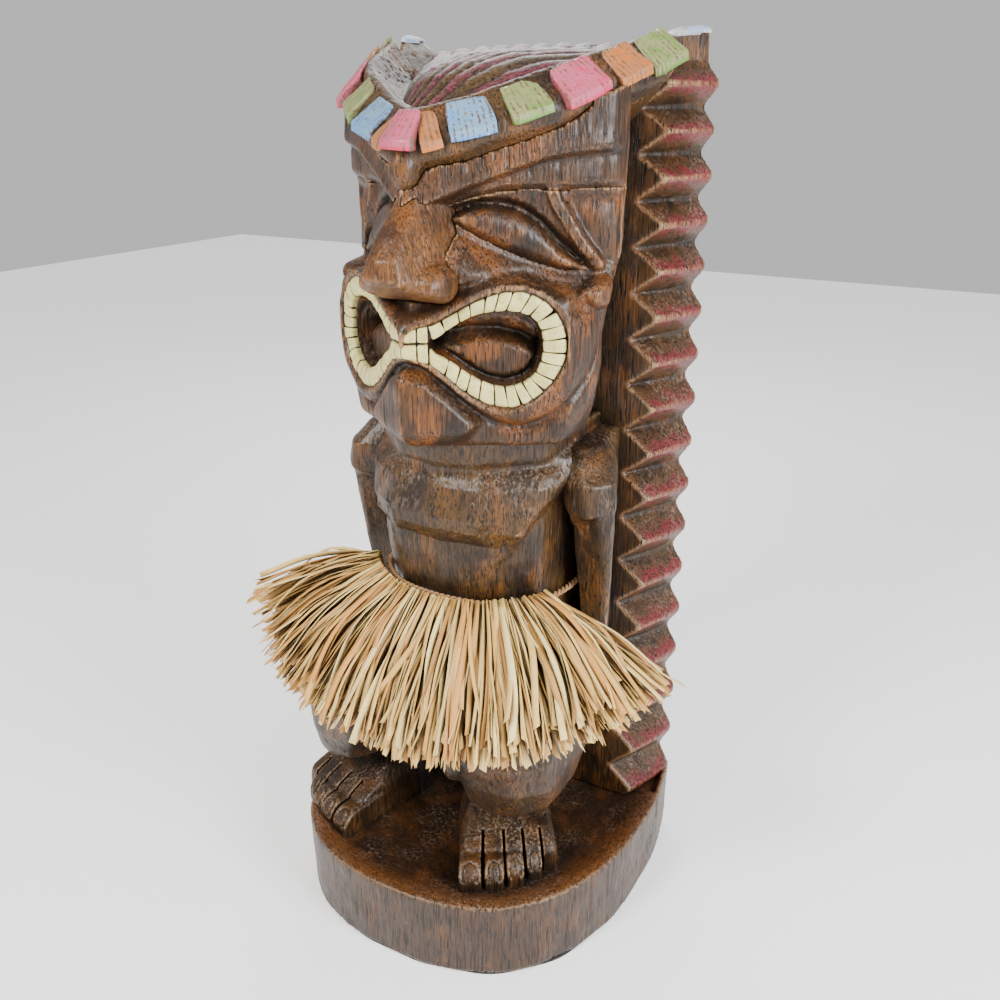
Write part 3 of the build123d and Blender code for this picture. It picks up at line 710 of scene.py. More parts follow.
def pillow(sides, soft):
    """A cube from -1 to 1 with rounded edges, as points and four-sided faces."""
    points, faces, seen = [], [], {}

    def corner(p):
        key = tuple(round(c, 6) for c in p)
        if key not in seen:
            seen[key] = len(points)
            points.append(p)
        return seen[key]

    for axis in range(3):
        i, j = [a for a in range(3) if a != axis]
        for end in (-1, 1):
            for a in range(sides[i]):
                for b in range(sides[j]):
                    ring = []
                    for da, db in ((0, 0), (1, 0), (1, 1), (0, 1)):
                        p = [0.0, 0.0, 0.0]
                        p[axis] = float(end)
                        p[i] = -math.cos(math.pi * (a + da) / sides[i])
                        p[j] = -math.cos(math.pi * (b + db) / sides[j])
                        ring.append(corner(tuple(p)))
                    turn = (end > 0) != (axis == 1)
                    faces.append(ring if turn else ring[::-1])
    p = np.array(points)
    core = np.clip(p, -1 + soft, 1 - soft)
    out = (p - core) / soft
    size = np.maximum(np.linalg.norm(out, axis=1), 1e-9)[:, None]
    return core + soft * out / size * np.minimum(size, 1), np.array(faces)


TILES = 24
OUTER_RUN = [(13.6, 449.2), *RING_OUTER[3:16], (13.6, 425.6)]
INNER_RUN = [(13.6, 438.9), *RING_INNER[3:17], (18, 432), (13.6, 437.4)]
CROSSING = [(-4.0, 6.2), (6.9, 13.1)]
outer_share = np.linspace(0, 1, 120)
inner_share = np.linspace(0, 1, 500)
apart = along(OUTER_RUN, outer_share)[:, None] - along(INNER_RUN, inner_share)[None]
nearest = inner_share[np.hypot(apart[..., 0], apart[..., 1]).argmin(axis=1)]
nearest[0], nearest[-1] = 0, 1
nearest = np.maximum.accumulate(np.convolve(np.pad(nearest, 5, mode="edge"), np.ones(11) / 11, "valid"))
nearest = 0.8 * nearest + 0.2 * outer_share
nearest[0], nearest[-1] = 0, 1
tile_rng = random.Random(8)
tile_points, tile_faces = pillow((6, 8, 4), 0.3)
weights = [tile_rng.uniform(0.82, 1.18) for _ in range(TILES)]
edges = np.concatenate(([0], np.cumsum(weights))) / sum(weights)
ring_points, ring_faces, ring_tone = [], [], []


def add_tile(u, v, proud):
    """One tooth: its plan on the cheek, and how far its face stands out."""
    a, b, c = tile_points.T
    lift = -1.0 + (proud + 1.0) * (c + 1) / 2 - 1.3 * (c > 0) * b * b
    ring_faces.append(tile_faces + sum(len(p) for p in ring_points))
    ring_points.append(from_cheek(u, v, lift))
    ring_tone.extend([tile_rng.random()] * len(tile_points))


GAP = 0.0011
a, b, c = tile_points.T
for index in range(TILES):
    share = edges[index] + GAP + (edges[index + 1] - edges[index] - 2 * GAP) * (a + 1) / 2
    lean = 0.004 * tile_rng.uniform(-1, 1)
    outer = along(OUTER_RUN, np.clip(share + lean, 0, 1))
    inner = along(INNER_RUN, np.interp(share - lean, outer_share, nearest))
    spot = inner + (outer - inner) * (0.02 + 0.97 * (b + 1) / 2)[:, None]
    add_tile(spot[:, 0], spot[:, 1], 5.0 + tile_rng.uniform(-0.5, 0.5))
for start, end in CROSSING:
    u = start + (end - start) * (a + 1) / 2
    spread = 0.12 * np.maximum(u, 0)
    add_tile(u, 439.0 + (8.6 + spread) * (b + 1) / 2, 5.2)
    add_tile(u, 438.2 - (8.8 + spread * 2.2) * (1 - b) / 2, 5.4)
ring_points, ring_faces = np.concatenate(ring_points), np.concatenate(ring_faces)
ring_points = ring_points + normals_of(ring_points, ring_faces) * 0.2 * noise(ring_points, 2.6, 9)[:, None]
ring_points[:, 0] = np.maximum(ring_points[:, 0], 0.2)

ivory = Finish("tooth_ivory")
tooth_colour_and_shade = ivory.ramp(ivory.speckle((9, 9, 9), 3.0), [(0.3, tint(186, 176, 104)), (0.7, tint(228, 220, 146))])
tooth_colour_and_shade = ivory.mix(ivory.times(ivory.layer("tone"), 0.35), tooth_colour_and_shade, tint(198, 180, 108))
pits = ivory.band(ivory.speckle((2.2, 2.2, 2.2), 3.0, 6.0), 0.56, 0.70)
tooth_colour_and_shade = ivory.mix(ivory.times(pits, 0.55), tooth_colour_and_shade, tint(150, 128, 84))
# Painted shade: dark brown in the gaps between and under the tiles, from ambient occlusion.
tooth_colour_and_shade = ivory.mix(ivory.band(ivory.hollow(4.5), 0.86, 0.35), tooth_colour_and_shade, tint(78, 56, 32))
# Painted highlight: pale yellow-white on the tiles' sharp edges.
tooth_colour_and_shade = ivory.mix(ivory.times(ivory.band(ivory.pointed, 0.52, 0.60), 0.5), tooth_colour_and_shade, tint(242, 236, 180))
ivory.finish(tooth_colour_and_shade, 0.42, ivory.speckle((1.6, 1.6, 1.6), 2.0, 1.0), 0.35, 0.2)
piece("teeth_left_tiles", ring_points, ring_faces, "teeth_left", ivory.material, tone=ring_tone)
mirrored = ring_points * MIRROR
piece("teeth_right_tiles", mirrored, ring_faces[:, ::-1], "teeth_right", ivory.material, tone=ring_tone)


# Headdress: the canopy's rim, the painted blocks astride it, and the striped mound behind it
wood_rim = timber(
    "wood_rim",
    ((66, 46, 28), (102, 78, 46), (128, 98, 56), (158, 112, 66)),
    ash_and_top_highlight=0.3,
)

space = Space((0, -86, 520), (118, 66, 622), half=True)
rim = canopy(space)
rim = np.maximum(np.maximum(rim, 523 - space.z), space.y - BOARD_FACE)
points, faces = space.surface(rim)
points = grain(points, faces, 0.9, 21, marks=15)
piece("headdress_carved", points, faces, "headdress", wood_rim)

# Back board: a zigzag edge, sharp and deep at its face and rounded behind
SEAT_Z = 55
NOTCHES = 16


def notch_height(index):
    share = index / (NOTCHES - 1)
    return 80 + 490 * share * (1 + 0.16 * (1 - share))


levels = np.array([notch_height(i) for i in range(-1, NOTCHES + 1)])


def zigzag(z):
    """0 on a crest and 1 in a valley, the valleys being at the notches' heights."""
    phase = np.interp(z, levels, np.arange(len(levels)))
    return 1 - 2 * np.abs(phase - np.round(phase))


def board_half_width(y, z):
    back = np.clip((y - BOARD_FACE) / 50, 0, 1)
    wave = zigzag(z)
    sharp = np.clip(wave, 0, 1) ** 1.15
    soft = wave * wave * (3 - 2 * wave)
    swell = 1.6 * np.sin(np.pi * back) * (1 - wave)
    return (110 - 21 * sharp) * (1 - back) + (124.5 - 7.5 * soft) * back + swell


board_space = Space((0, BOARD_FACE - 4, 53), (128, BOARD_REAR + 3, 624), voxel=max(VOXEL, 2.15), half=True)
x, y, z = board_space.x, board_space.y, board_space.z
top = np.interp(x, [0, 76, 90, 100, 112, 124], [588, 592, 606, 614, 617, 612])
edge = x - board_half_width(y, z)
board = cut(edge / 1.15, cut(y - BOARD_REAR, z - top, 3), 4)
board = cut(board, BOARD_FACE - y, 1.2)
board = np.maximum(board, SEAT_Z - z)
cap = np.maximum(board - 1.3, np.maximum(610 + 0.12 * np.abs(y - 86) - z, 92 - x))
cap_points, cap_faces = board_space.surface(cap)
cap_points = cap_points + 0.5 * noise(cap_points, 7, 33)[:, None] * normals_of(cap_points, cap_faces)

# The blocks: colour, distance along the rim from the prow, and width
BLOCKS = {
    "pink": [(0.0, 23.0), (110.5, 33.0)],
    "orange": [(20.0, 13.0), (146.5, 26.0)],
    "blue": [(43.0, 29.0)],
    "green": [(76.5, 25.0), (176.5, 30.0)],
}
DYES = {
    "pink": (tint(188, 84, 112), tint(206, 26, 84)),
    "orange": (tint(168, 104, 56), tint(196, 106, 24)),
    "blue": (tint(112, 152, 184), tint(70, 144, 214)),
    "green": (tint(134, 140, 88), tint(84, 132, 36)),
}
RAKE = math.atan(RIM_SLOPE)


def rim_frame(distance, side):
    """The middle of a block on the rim, and which way is along it, out of it and up."""
    run = distance
    for (x0, y0), (x1, y1) in zip(RIM, RIM[1:]):
        span = math.hypot(x1 - x0, y1 - y0)
        if run <= span:
            break
        run -= span
    turn = math.atan2(y1 - y0, x1 - x0) if distance else 0.0
    x, y = x0 + run * math.cos(turn), y0 + run * math.sin(turn)
    along = Vector((math.cos(turn), math.sin(turn), RIM_SLOPE * math.sin(turn))).normalized()
    out = Vector((math.sin(turn), -math.cos(turn), 0))
    up = out.cross(along)
    up = up if up.z > 0 else -up
    place = Vector((x, y, rim_height(x, y) + (0 if distance else 4.5)))
    flip = np.array([side, 1, 1])
    return tuple(np.array(v) * flip for v in (place, along, out, up))


def tile_on_rim(distance, width, side, rng):
    """One block: a chamfered tile whose broad face leans back over the rim."""
    p, q = pillow((26, 10, 8), 0.13)
    a, b, c = p.T
    place, along, out, up = rim_frame(distance, side)
    wide = width / 2 * (1 + 0.06 * rng.uniform(-1, 1))
    curve = 0.06 if distance else 0.32
    foot, brow = (1 - c) / 2, (1 + c) / 2
    back, front = (1 - b) / 2, (1 + b) / 2
    reach = back * (foot * -15 + brow * -13.5) + front * (foot * 3.2 + brow * 3.4)
    high = back * (foot * -8 + brow * (12.8 + rng.uniform(-0.8, 0.6))) + front * (foot * -8.5 + brow * -3.2)
    pinch = 1 - 0.10 * back - curve * back
    spread = a * wide * pinch + rng.uniform(-0.8, 0.8) * back
    reach = reach - curve * 9 * a * a
    points = place + spread[:, None] * along + reach[:, None] * out + high[:, None] * up
    waves = np.sin(a * wide * 1.7 + 0.9 * np.sin(b * 2 + distance))
    lines = 0.5 + 0.5 * waves * (0.55 + 0.6 * noise(points, 6, 3))
    edge = np.clip((np.abs(a) - 0.9) * 6, 0, 1) * 0.9
    if side < 0:
        q = q[:, ::-1]
    lip = np.clip(-c * 2 - 0.6 + 0.5 * (b > 0.8), 0, 1)
    return points, q, np.clip(np.maximum(lines * 0.86, edge), 0, 1), lip


block_rng = random.Random(5)
for colour, blocks in BLOCKS.items():
    all_points, all_faces, all_lines, all_lips, count = [], [], [], [], 0
    for distance, width in blocks:
        for side in (1, -1) if distance else (1,):
            p, q, lines, lip = tile_on_rim(distance, width, side, block_rng)
            all_lips.append(lip)
            all_points.append(p)
            all_faces.append(q + count)
            all_lines.append(lines)
            count += len(p)
    p, q = np.concatenate(all_points), np.concatenate(all_faces)
    p = p + normals_of(p, q) * (0.6 * noise(p, 9, 31) + 0.25 * noise(p, 3, 32))[:, None]
    lines, lips = np.concatenate(all_lines), np.concatenate(all_lips)
    if colour == "blue":
        lips = np.concatenate((lips, np.zeros(len(cap_points))))
        q = np.concatenate((q, cap_faces + len(p)))
        p = np.concatenate((p, cap_points))
        lines = np.concatenate((lines, 0.4 + 0.4 * noise(cap_points, (3, 9, 3), 3)))
    paint = painted(f"paint_{colour}", *DYES[colour])
    piece(f"rim_blocks_{colour}_carved", p, q, f"rim_blocks_{colour}", paint, lines=lines, lip=lips)

# Mound: ribs fan out over it from behind the prow
FOCUS = (-26.0, -120.0)
RIB_ANGLE = 0.07
space = Space((-96, -56, 552), (96, 114, 614))
x, y, z = space.x, space.y, space.z
ridge = np.interp(y, [-52, -40, -20, 0, 30, 60, 100, 112], [560, 573, 588, 596, 602, 605, 607, 606])
half_width = np.interp(y, [-54, -40, 0, 50, 100, 114], [6, 20, 44, 68, 86, 88])
bottom = 556 + 0.27 * (y + 76)
dome = np.clip(1 - (np.abs(x) / half_width) ** 2.2, 0, 1) ** 0.75
fan = np.arctan2(x - FOCUS[0], y - FOCUS[1])
phase = fan / RIB_ANGLE + 0.35 * np.sin(y / 17)
rib = np.abs(np.sin(np.pi * phase)) ** 0.55
mound = z - (bottom + np.maximum(ridge - bottom, 4) * dome - 2.6 * (1 - rib))
mound = np.maximum(mound / 1.3, np.minimum(bottom - 4, 584) - z)
mound = np.maximum(mound, np.maximum(y - 111, np.abs(x) - half_width - 1))
points, faces = space.surface(mound)
points = grain(points, faces, 0.5, 41, marks=13, lie="y")
fan = np.arctan2(points[:, 0] - FOCUS[0], points[:, 1] - FOCUS[1])
phase = fan / RIB_ANGLE + 0.35 * np.sin(points[:, 1] / 17)
stripe = step(0.5 + 0.5 * np.cos(np.pi * (phase - 0.5)), 0.35, 0.65)
# How deep in a furrow between the ribs each point is, for the painted shade there.
furrow = 1 - np.abs(np.sin(np.pi * phase)) ** 0.55
patch = step(np.hypot(points[:, 0] + 40, points[:, 1] - 8), 24, 12) * (points[:, 0] < -10)


def stripes(f, colour):
    """Alternate ribs rubbed with dull magenta, one grey-blue patch at the foot of the mound, and painted
    shade down the furrows between the ribs.
    """
    coat = f.mix(f.band(f.speckle((6, 14, 6), 2.0, 9.0), 0.4, 0.65), tint(138, 56, 78), tint(104, 62, 60))
    colour = f.mix(f.times(f.layer("stripe"), 0.9), colour, coat)
    colour = f.mix(f.times(f.layer("patch"), 0.7), colour, tint(118, 128, 140))
    # Painted shade: dark brown down the furrows between the ribs.
    return f.mix(f.times(f.layer("furrow"), 0.75), colour, tint(46, 32, 24))


wood_mound = timber(
    "wood_mound",
    ((84, 68, 52), (118, 100, 76), (134, 116, 84), (150, 124, 100)),
    ash_and_top_highlight=0.12, lie="y", dyed=stripes,
)
piece("crown_carved", points, faces, "crown", wood_mound, stripe=stripe, patch=patch, furrow=furrow)

# The board's surface: crimson crests and a worn front edge
points, faces = board_space.surface(board)
points = grain(points, faces, 0.8, 51, marks=21)
wave = zigzag(points[:, 2])
outside = step(np.abs(points[:, 0]), 88, 97) * step(points[:, 1], BOARD_FACE + 0.6, BOARD_FACE + 3)
crest = (1 - wave) * outside * step(points[:, 1], BOARD_REAR, BOARD_REAR - 6)
past_edge = np.abs(points[:, 0]) - board_half_width(points[:, 1], points[:, 2])
bright = step(points[:, 1], BOARD_FACE + 4.5, BOARD_FACE + 0.5) * step(past_edge, -3.4, -0.8)


def crimson(f, colour):
    """Crimson rubbed along each crest, and a pale worn line down the zigzag's front edge."""
    uneven = f.times(f.sum("SUBTRACT", f.speckle((14, 9, 9), 3.0, 13.0), 0.5), 1.3)
    rub = f.sum("ADD", f.layer("crest"), uneven)
    colour = f.mix(f.times(f.layer("side"), f.band(rub, 0.1, 0.5)), colour, tint(96, 66, 40))
    colour = f.mix(f.times(f.band(rub, 0.42, 0.85), 0.9), colour, tint(132, 36, 44))
    return f.mix(f.times(f.layer("bright"), 0.5), colour, tint(150, 100, 62))


wood_board = timber(
    "wood_board",
    (DEEP, (90, 68, 44), (112, 88, 56), (150, 108, 70)),
    ash_and_top_highlight=0.5, dyed=crimson,
)
piece("back_board_carved", points, faces, "back_board", wood_board, crest=crest, side=outside, bright=bright)


# Torso: a belly, a heavy chest over it, and a neck
TORSO = {
    228: [(0, -34), (30, -30), (58, -8), (66, 20), (62, 62)],
    252: [(0, -37), (33, -33), (61, -9), (67, 18), (62, 62)],
    285: [(0, -40), (36, -37), (62, -14), (67, 16), (63, 62)],
    303: [(0, -39), (38, -35), (63, -13), (68, 15), (66, 62)],
    372: [(0, -40), (38, -32), (64, -8), (72, 16), (72, 62)],
}
CHEST = {
    296: [(0, -40), (40, -34), (60, -14), (66, 16), (66, 62)],
    309: [(0, -49), (30, -47), (56, -30), (72, 6), (72, 62)],
    318: [(0, -51), (34, -48), (62, -27), (76, 4), (76, 62)],
    338: [(0, -47), (34, -42), (66, -19), (84, 10), (80, 62)],
    354: [(0, -39), (32, -33), (62, -8), (84, 20), (80, 62)],
    366: [(0, -30), (28, -24), (52, 0), (70, 26), (68, 62)],
}
NECK = {
    338: [(0, -40), (28, -36), (46, -14), (54, 18), (52, 62)],
    352: [(0, -46), (30, -40), (53, -17), (60, 12), (56, 62)],
    380: [(0, -52), (33, -44), (60, -18), (70, 8), (60, 62)],
}
space = Space((0, -62, 228), (92, 64, 386), half=True)
x, y, z = space.x, space.y, space.z
belly = block(space, TORSO, 3, 231, 372, BOARD_FACE)
chest = block(space, CHEST, 2.5, 298, 364, BOARD_FACE)
chest = cut(chest, (x - 56) * 0.86 - (z - 309) * 0.5 - 1.5, 2.5)
neck = block(space, NECK, 4, 340, 384, BOARD_FACE)
torso = join(belly, chest, 2.0)
torso = join(torso, neck, 2.0)
torso = torso + 2.5 * np.exp(-(((z - 351) / 4) ** 2)) * step(y, 10, -10)
fold_line = np.abs((x - 56) * 0.84 + (309 - z) * 0.54) + np.maximum(z - 309, 0)
torso = torso - 1.6 * np.exp(-((fold_line / 3) ** 2)) * step(z, 282, 292)
points, faces = space.surface(np.maximum(torso, y - BOARD_FACE))
points = grain(points, faces, 0.9, 61, marks=20)
wood_body = timber(
    "wood_body",
    (DEEP, (90, 70, 46), (120, 94, 54), (152, 110, 62)),
    ash_and_top_highlight=0.55,
)
piece("torso_carved", points, faces, "torso", wood_body)

# Arms: slabs from the shoulder to the hip
space = Space((57, -14, 212), (114, 64, 368))
x, y, z = space.x, space.y, space.z


def arm_plan(near, far, front, outer):
    """An arm's plan at one height, bevelled in front and undercut towards the board."""
    bevel = [(near, front + 10), (near + 8, front), (far - 11, front + 1), (far, front + outer)]
    return [(0, 30), *bevel, (84.5, 62)]


ARM = {
    214: arm_plan(80, 100, 12, 8),
    258: arm_plan(77, 103, 7, 9),
    300: arm_plan(76, 106, 1, 10),
    322: arm_plan(75, 107, -3, 11),
    340: arm_plan(72, 104, -3, 14),
    352: arm_plan(66, 97, 3, 16),
    362: arm_plan(62, 84, 12, 14),
}
CAP = {
    300: arm_plan(76, 106, 3, 11),
    318: arm_plan(73, 108.5, -7, 12),
    340: arm_plan(68, 105, -7, 15),
    358: arm_plan(62, 90, 4, 16),
}
arm = block(space, ARM, 3.0, 215, 362, BOARD_FACE, across=x)
inner = np.interp(z, [214, 258, 300, 316, 330, 344], [80, 78, 75.5, 75, 66, 58])
arm = cut(arm, inner - x, 2.0)
cap = block(space, CAP, 4, 300, 360, BOARD_FACE, across=x)
cap = cut(cap, (312 - z) * 0.8 + (x - 84) * 0.42, 3)
cap = cut(cap, inner - x, 2.0)
arm = join(arm, cap, 5.0)
points, faces = space.surface(np.maximum(arm, y - BOARD_FACE))
mirrored_points, mirrored_faces = points * MIRROR, faces[:, ::-1]
points = grain(points, faces, 0.9, 71, marks=19)
piece("arm_left_carved", points, faces, "arm_left", wood_body)
mirrored_points = grain(mirrored_points, mirrored_faces, 0.9, 72, marks=19)
piece("arm_right_carved", mirrored_points, mirrored_faces, "arm_right", wood_body)

# Legs: bent and heavy, cut off in a hem over each foot
STANCE = [("left", 1, (47.0, -22.0), 33.0), ("right", -1, (84.0, -20.0), 17.0)]
TOES = [(-34, 58, 18), (-16.5, 58, 15), (-1, 55, 14), (13, 49, 13), (26, 38, 12)]


def leg_plan(across, forward, half, front, back):
    bevel = half * 0.42
    return [
        (across - half, back - bevel), (across - half, front + bevel), (across - half + bevel, front),
        (across + half - bevel * 1.3, front + forward), (across + half, front + forward + bevel * 1.3),
        (across + half, back - bevel), (across + half - bevel, back),
    ]


wood_leg = timber(
    "wood_leg",
    (DEEP, (80, 60, 40), (104, 80, 48), (138, 98, 56)),
    ash_and_top_highlight=0.55,
)
for name, side, (foot_x, foot_y), splay in STANCE:
    wider = foot_x - STANCE[0][2][0]
    LEG = {
        92: leg_plan(53 + wider, 4, 27, -50, 10),
        100: leg_plan(53.5 + wider, 4, 32, -58, 14),
        126: leg_plan(54.5 + 0.85 * wider, 5, 35, -69, 30),
        150: leg_plan(55 + 0.7 * wider, 6, 36, -75, 40),
        196: leg_plan(50 + 0.2 * wider, 8, 39, -52, 56),
        234: leg_plan(33, 6, 33, -30, 60),
    }
    reach = 126 if name == "right" else 94
    space = Space((-1, -80, 86), (reach, 64, 236))
    x, y, z = space.x, space.y, space.z
    leg = block(space, LEG, 4, across=x)
    hem = 97 + 0.34 * np.abs(x - (57 + wider)) + 0.10 * np.maximum(-y - 45, 0)
    leg = cut(leg, hem - z, 2.5)
    leg = cut(leg, z - 233, 2)
    knob = np.sqrt(((x - (22 + 0.7 * wider)) / 0.8) ** 2 + (y + 60) ** 2 + ((z - 138) / 1.3) ** 2) - 11
    leg = join(leg, knob, 5)
    leg = np.maximum(np.maximum(leg, 1.2 - x), y - 61)
    points, faces = space.surface(leg)
    if side < 0:
        points, faces = points * MIRROR, faces[:, ::-1]
    points = grain(points, faces, 0.9, 81 + side, marks=18)
    piece(f"leg_{name}_carved", points, faces, f"leg_{name}", wood_leg)

    # Foot, in its own frame: a is across and outwards, b is forwards
    turn = math.radians(splay)
    low, high = (foot_x - 66, foot_y - 76, 53), (foot_x + 74, foot_y + 40, 102)
    space = Space(low, high, voxel=max(VOXEL * 0.8, 1.0))
    x, y, z = space.x - foot_x, space.y - foot_y, space.z
    a = x * math.cos(turn) + y * math.sin(turn)
    b = x * math.sin(turn) - y * math.cos(turn)
    slope = np.interp(b, [-20, 0, 18, 36, 60], [96, 94, 84, 76, 70])
    instep = cut(np.abs(a + 4) - np.interp(z, [55, 78, 96], [36, 33, 26]), z - slope, 5)
    instep = cut(cut(instep, b - 40, 6), -20 - b, 3)
    foot = instep
    for across, length, width in TOES:
        half = width / 2 - 0.7
        toe = cut(np.abs(a - across * (0.86 + 0.14 * b / length)) - half, b - length, 4.5)
        tip = 73.5 - 0.03 * (b - 30) - 0.05 * (b > 0) * np.maximum(b - length + 12, 0) ** 2
        toe = cut(toe, z - tip, 4.0)
        toe = np.maximum(toe, 16 - b)
        nail_a, nail_b = (a - across) / (half * 0.62), (b - length + 3.5) / 6.5
        rim_of_nail = np.abs(np.sqrt(nail_a**2 + nail_b**2) - 1.0)
        toe = toe + 1.5 * np.exp(-((rim_of_nail / 0.16) ** 2)) * (b < length + 1) * (z > 62)
        foot = np.minimum(foot, toe)
    for left, right in zip(TOES, TOES[1:]):
        between = (left[0] + left[2] / 2 + right[0] - right[2] / 2) / 2
        slit = np.abs(a - between * (0.86 + 0.14 * b / 50)) - 1.1
        foot = np.maximum(foot, -np.maximum(slit, 24 - b))
    foot = np.maximum(foot, SEAT_Z - 1.5 - z)
    points, faces = space.surface(foot)
    if side < 0:
        points, faces = points * MIRROR, faces[:, ::-1]
    points = grain(points, faces, 0.6, 85 + side, marks=12)
    piece(f"foot_{name}_carved", points, faces, f"foot_{name}", wood_leg)

# Plinth: an upright wall, a worn rim and a dished top
PLINTH = [
    (0, -118.5), (24, -118), (52, -112), (78, -100), (99, -81), (113, -60), (124, -32), (130, -6),
    (132.5, 30), (132, 64), (127, 96), (122, 118),
]
space = Space((0, -122, 1), (135, 121, 64), voxel=max(VOXEL, 1.6), half=True)
x, y, z = space.x, space.y, space.z
wall = cut(walls(x, y, PLINTH, 3), y - 118, 5)
inward = -wall
dish = 61 - 7.2 * step(inward, 4, 26)
dish = np.where(y > 70, np.minimum(dish, 61 - 5.5 * step(inward, 2, 8)), dish)
plinth = cut(wall + 0.02 * (61 - z), z - dish, 2.2)
plinth = np.maximum(plinth, 2.0 - z)
points, faces = space.surface(plinth)
points = grain(points, faces, 0.85, 91, marks=22)


def rim_glow(f, colour):
    """The slope inside the rim is rubbed orange-brown, and the wall is greyer."""
    amount = f.times(f.layer("glow"), 0.75)
    orange = f.mix(f.speckle((12, 12, 12), 2.0), tint(104, 62, 28), tint(150, 96, 48))
    colour = f.mix(amount, colour, orange)
    return f.mix(f.times(f.layer("wall"), 0.55), colour, tint(82, 58, 40))


around = walls(np.abs(points[:, 0]), points[:, 1], PLINTH, 0)
wall_side = step(-around, 3, 0.5) * (points[:, 2] < 60)
glow = step(-around, 0, 4) * step(-around, 26, 12) * (points[:, 2] > 50)
wood_plinth = timber(
    "wood_plinth",
    ((50, 32, 20), (72, 50, 32), (92, 66, 40), (130, 86, 48)),
    ash_and_top_highlight=0.4, dyed=rim_glow,
)
piece("base_plinth_carved", points, faces, "base_plinth", wood_plinth, glow=glow, wall=wall_side)

# Waist cord: two twisted strands round the waist
CORD_ROUTE = [
    (-71.5, 61), (-71.5, 30), (-71, 14), (-66, -9), (-52, -24), (-34, -36), (0, -41), (34, -36),
    (52, -24), (66, -9), (71, 14), (71.5, 30), (71.5, 61),
]
CORD_Z = 254
route = bpy.data.curves.new("waist_line", "CURVE")
route.dimensions = "3D"
route.resolution_u = 14
line = route.splines.new("NURBS")
line.points.add(len(CORD_ROUTE) - 1)
for point, (px, py) in zip(line.points, CORD_ROUTE):
    point.co = (px, py, CORD_Z, 1)
line.order_u = 3
line.use_endpoint_u = True
holder = bpy.data.objects.new("waist_line", route)
followed = bpy.data.meshes.new_from_object(holder)
middle_line = np.array([v.co for v in followed.vertices])
bpy.data.objects.remove(holder)
tangent = np.gradient(middle_line, axis=0)
tangent /= np.linalg.norm(tangent, axis=1)[:, None]
sideways = np.cross(tangent, (0, 0, 1))
run = np.concatenate(([0], np.cumsum(np.linalg.norm(np.diff(middle_line, axis=0), axis=1))))
fine = np.arange(0, run[-1], 1.1)
middle_line = np.stack([np.interp(fine, run, middle_line[:, i]) for i in range(3)], axis=1)
sideways = np.stack([np.interp(fine, run, sideways[:, i]) for i in range(3)], axis=1)
cord_points, cord_faces = [], []
AROUND = 10
for strand in (0, math.pi):
    turn = fine / 9 * 2 * math.pi + strand
    offset = np.cos(turn)[:, None] * sideways + np.sin(turn)[:, None] * np.array([0, 0, 1])
    centre = middle_line + 1.15 * offset
    base = len(cord_points) * len(fine) * AROUND
    shell = []
    for k in range(AROUND):
        angle = 2 * math.pi * k / AROUND
        shell.append(centre + 1.3 * (math.cos(angle) * sideways + math.sin(angle) * np.array([0, 0, 1])))
    cord_points.append(np.stack(shell, axis=1).reshape(-1, 3))
    for i in range(len(fine) - 1):
        for k in range(AROUND):
            n = (k + 1) % AROUND
            here, ahead = base + i * AROUND, base + (i + 1) * AROUND
            cord_faces.append([here + k, here + n, ahead + n, ahead + k])
straw = Finish("raffia_straw")
tone = straw.layer("tone")
STRAWS = [
    (0.0, tint(176, 124, 58)), (0.22, tint(224, 178, 98)), (0.55, tint(244, 212, 132)),
    (0.85, tint(254, 236, 170)), (1.0, tint(214, 156, 76)),
]
shown = straw.ramp(tone, STRAWS)
fibre = straw.speckle((0.8, 0.8, 14), 3.0)
fibres = straw.ramp(fibre, [(0.3, tint(216, 192, 152)), (0.7, tint(255, 253, 246))])
shown = straw.mix(0.5, shown, fibres, "MULTIPLY")
patches = straw.band(straw.speckle((14, 14, 14), 2.0, 5.0), 0.5, 0.72)
shown = straw.mix(straw.times(patches, 0.4), shown, tint(214, 160, 104))
shaded = straw.band(straw.hollow(12), 0.78, 0.2)
shown = straw.mix(straw.times(shaded, 0.9), shown, tint(66, 38, 14))
straw.finish(shown, 0.52, fibre, 0.25)

twine = Finish("cord_twine")
twist = twine.speckle((1.0, 1.0, 1.0), 3.0)
shade = twine.ramp(twist, [(0.3, tint(120, 84, 50)), (0.7, tint(178, 138, 92))])
shade = twine.mix(twine.band(twine.hollow(4), 0.8, 0.3), shade, tint(48, 32, 18))
twine.finish(shade, 0.75, twist, 0.3)
piece("waist_cord_twisted", np.concatenate(cord_points), np.array(cord_faces), "waist_cord", twine.material)

# Skirt: ribbons of raffia, gathered under the cord and cut off unevenly at the hem
HANKS = 9
HALF_FAN = 80.0
skirt_rng = random.Random(12)


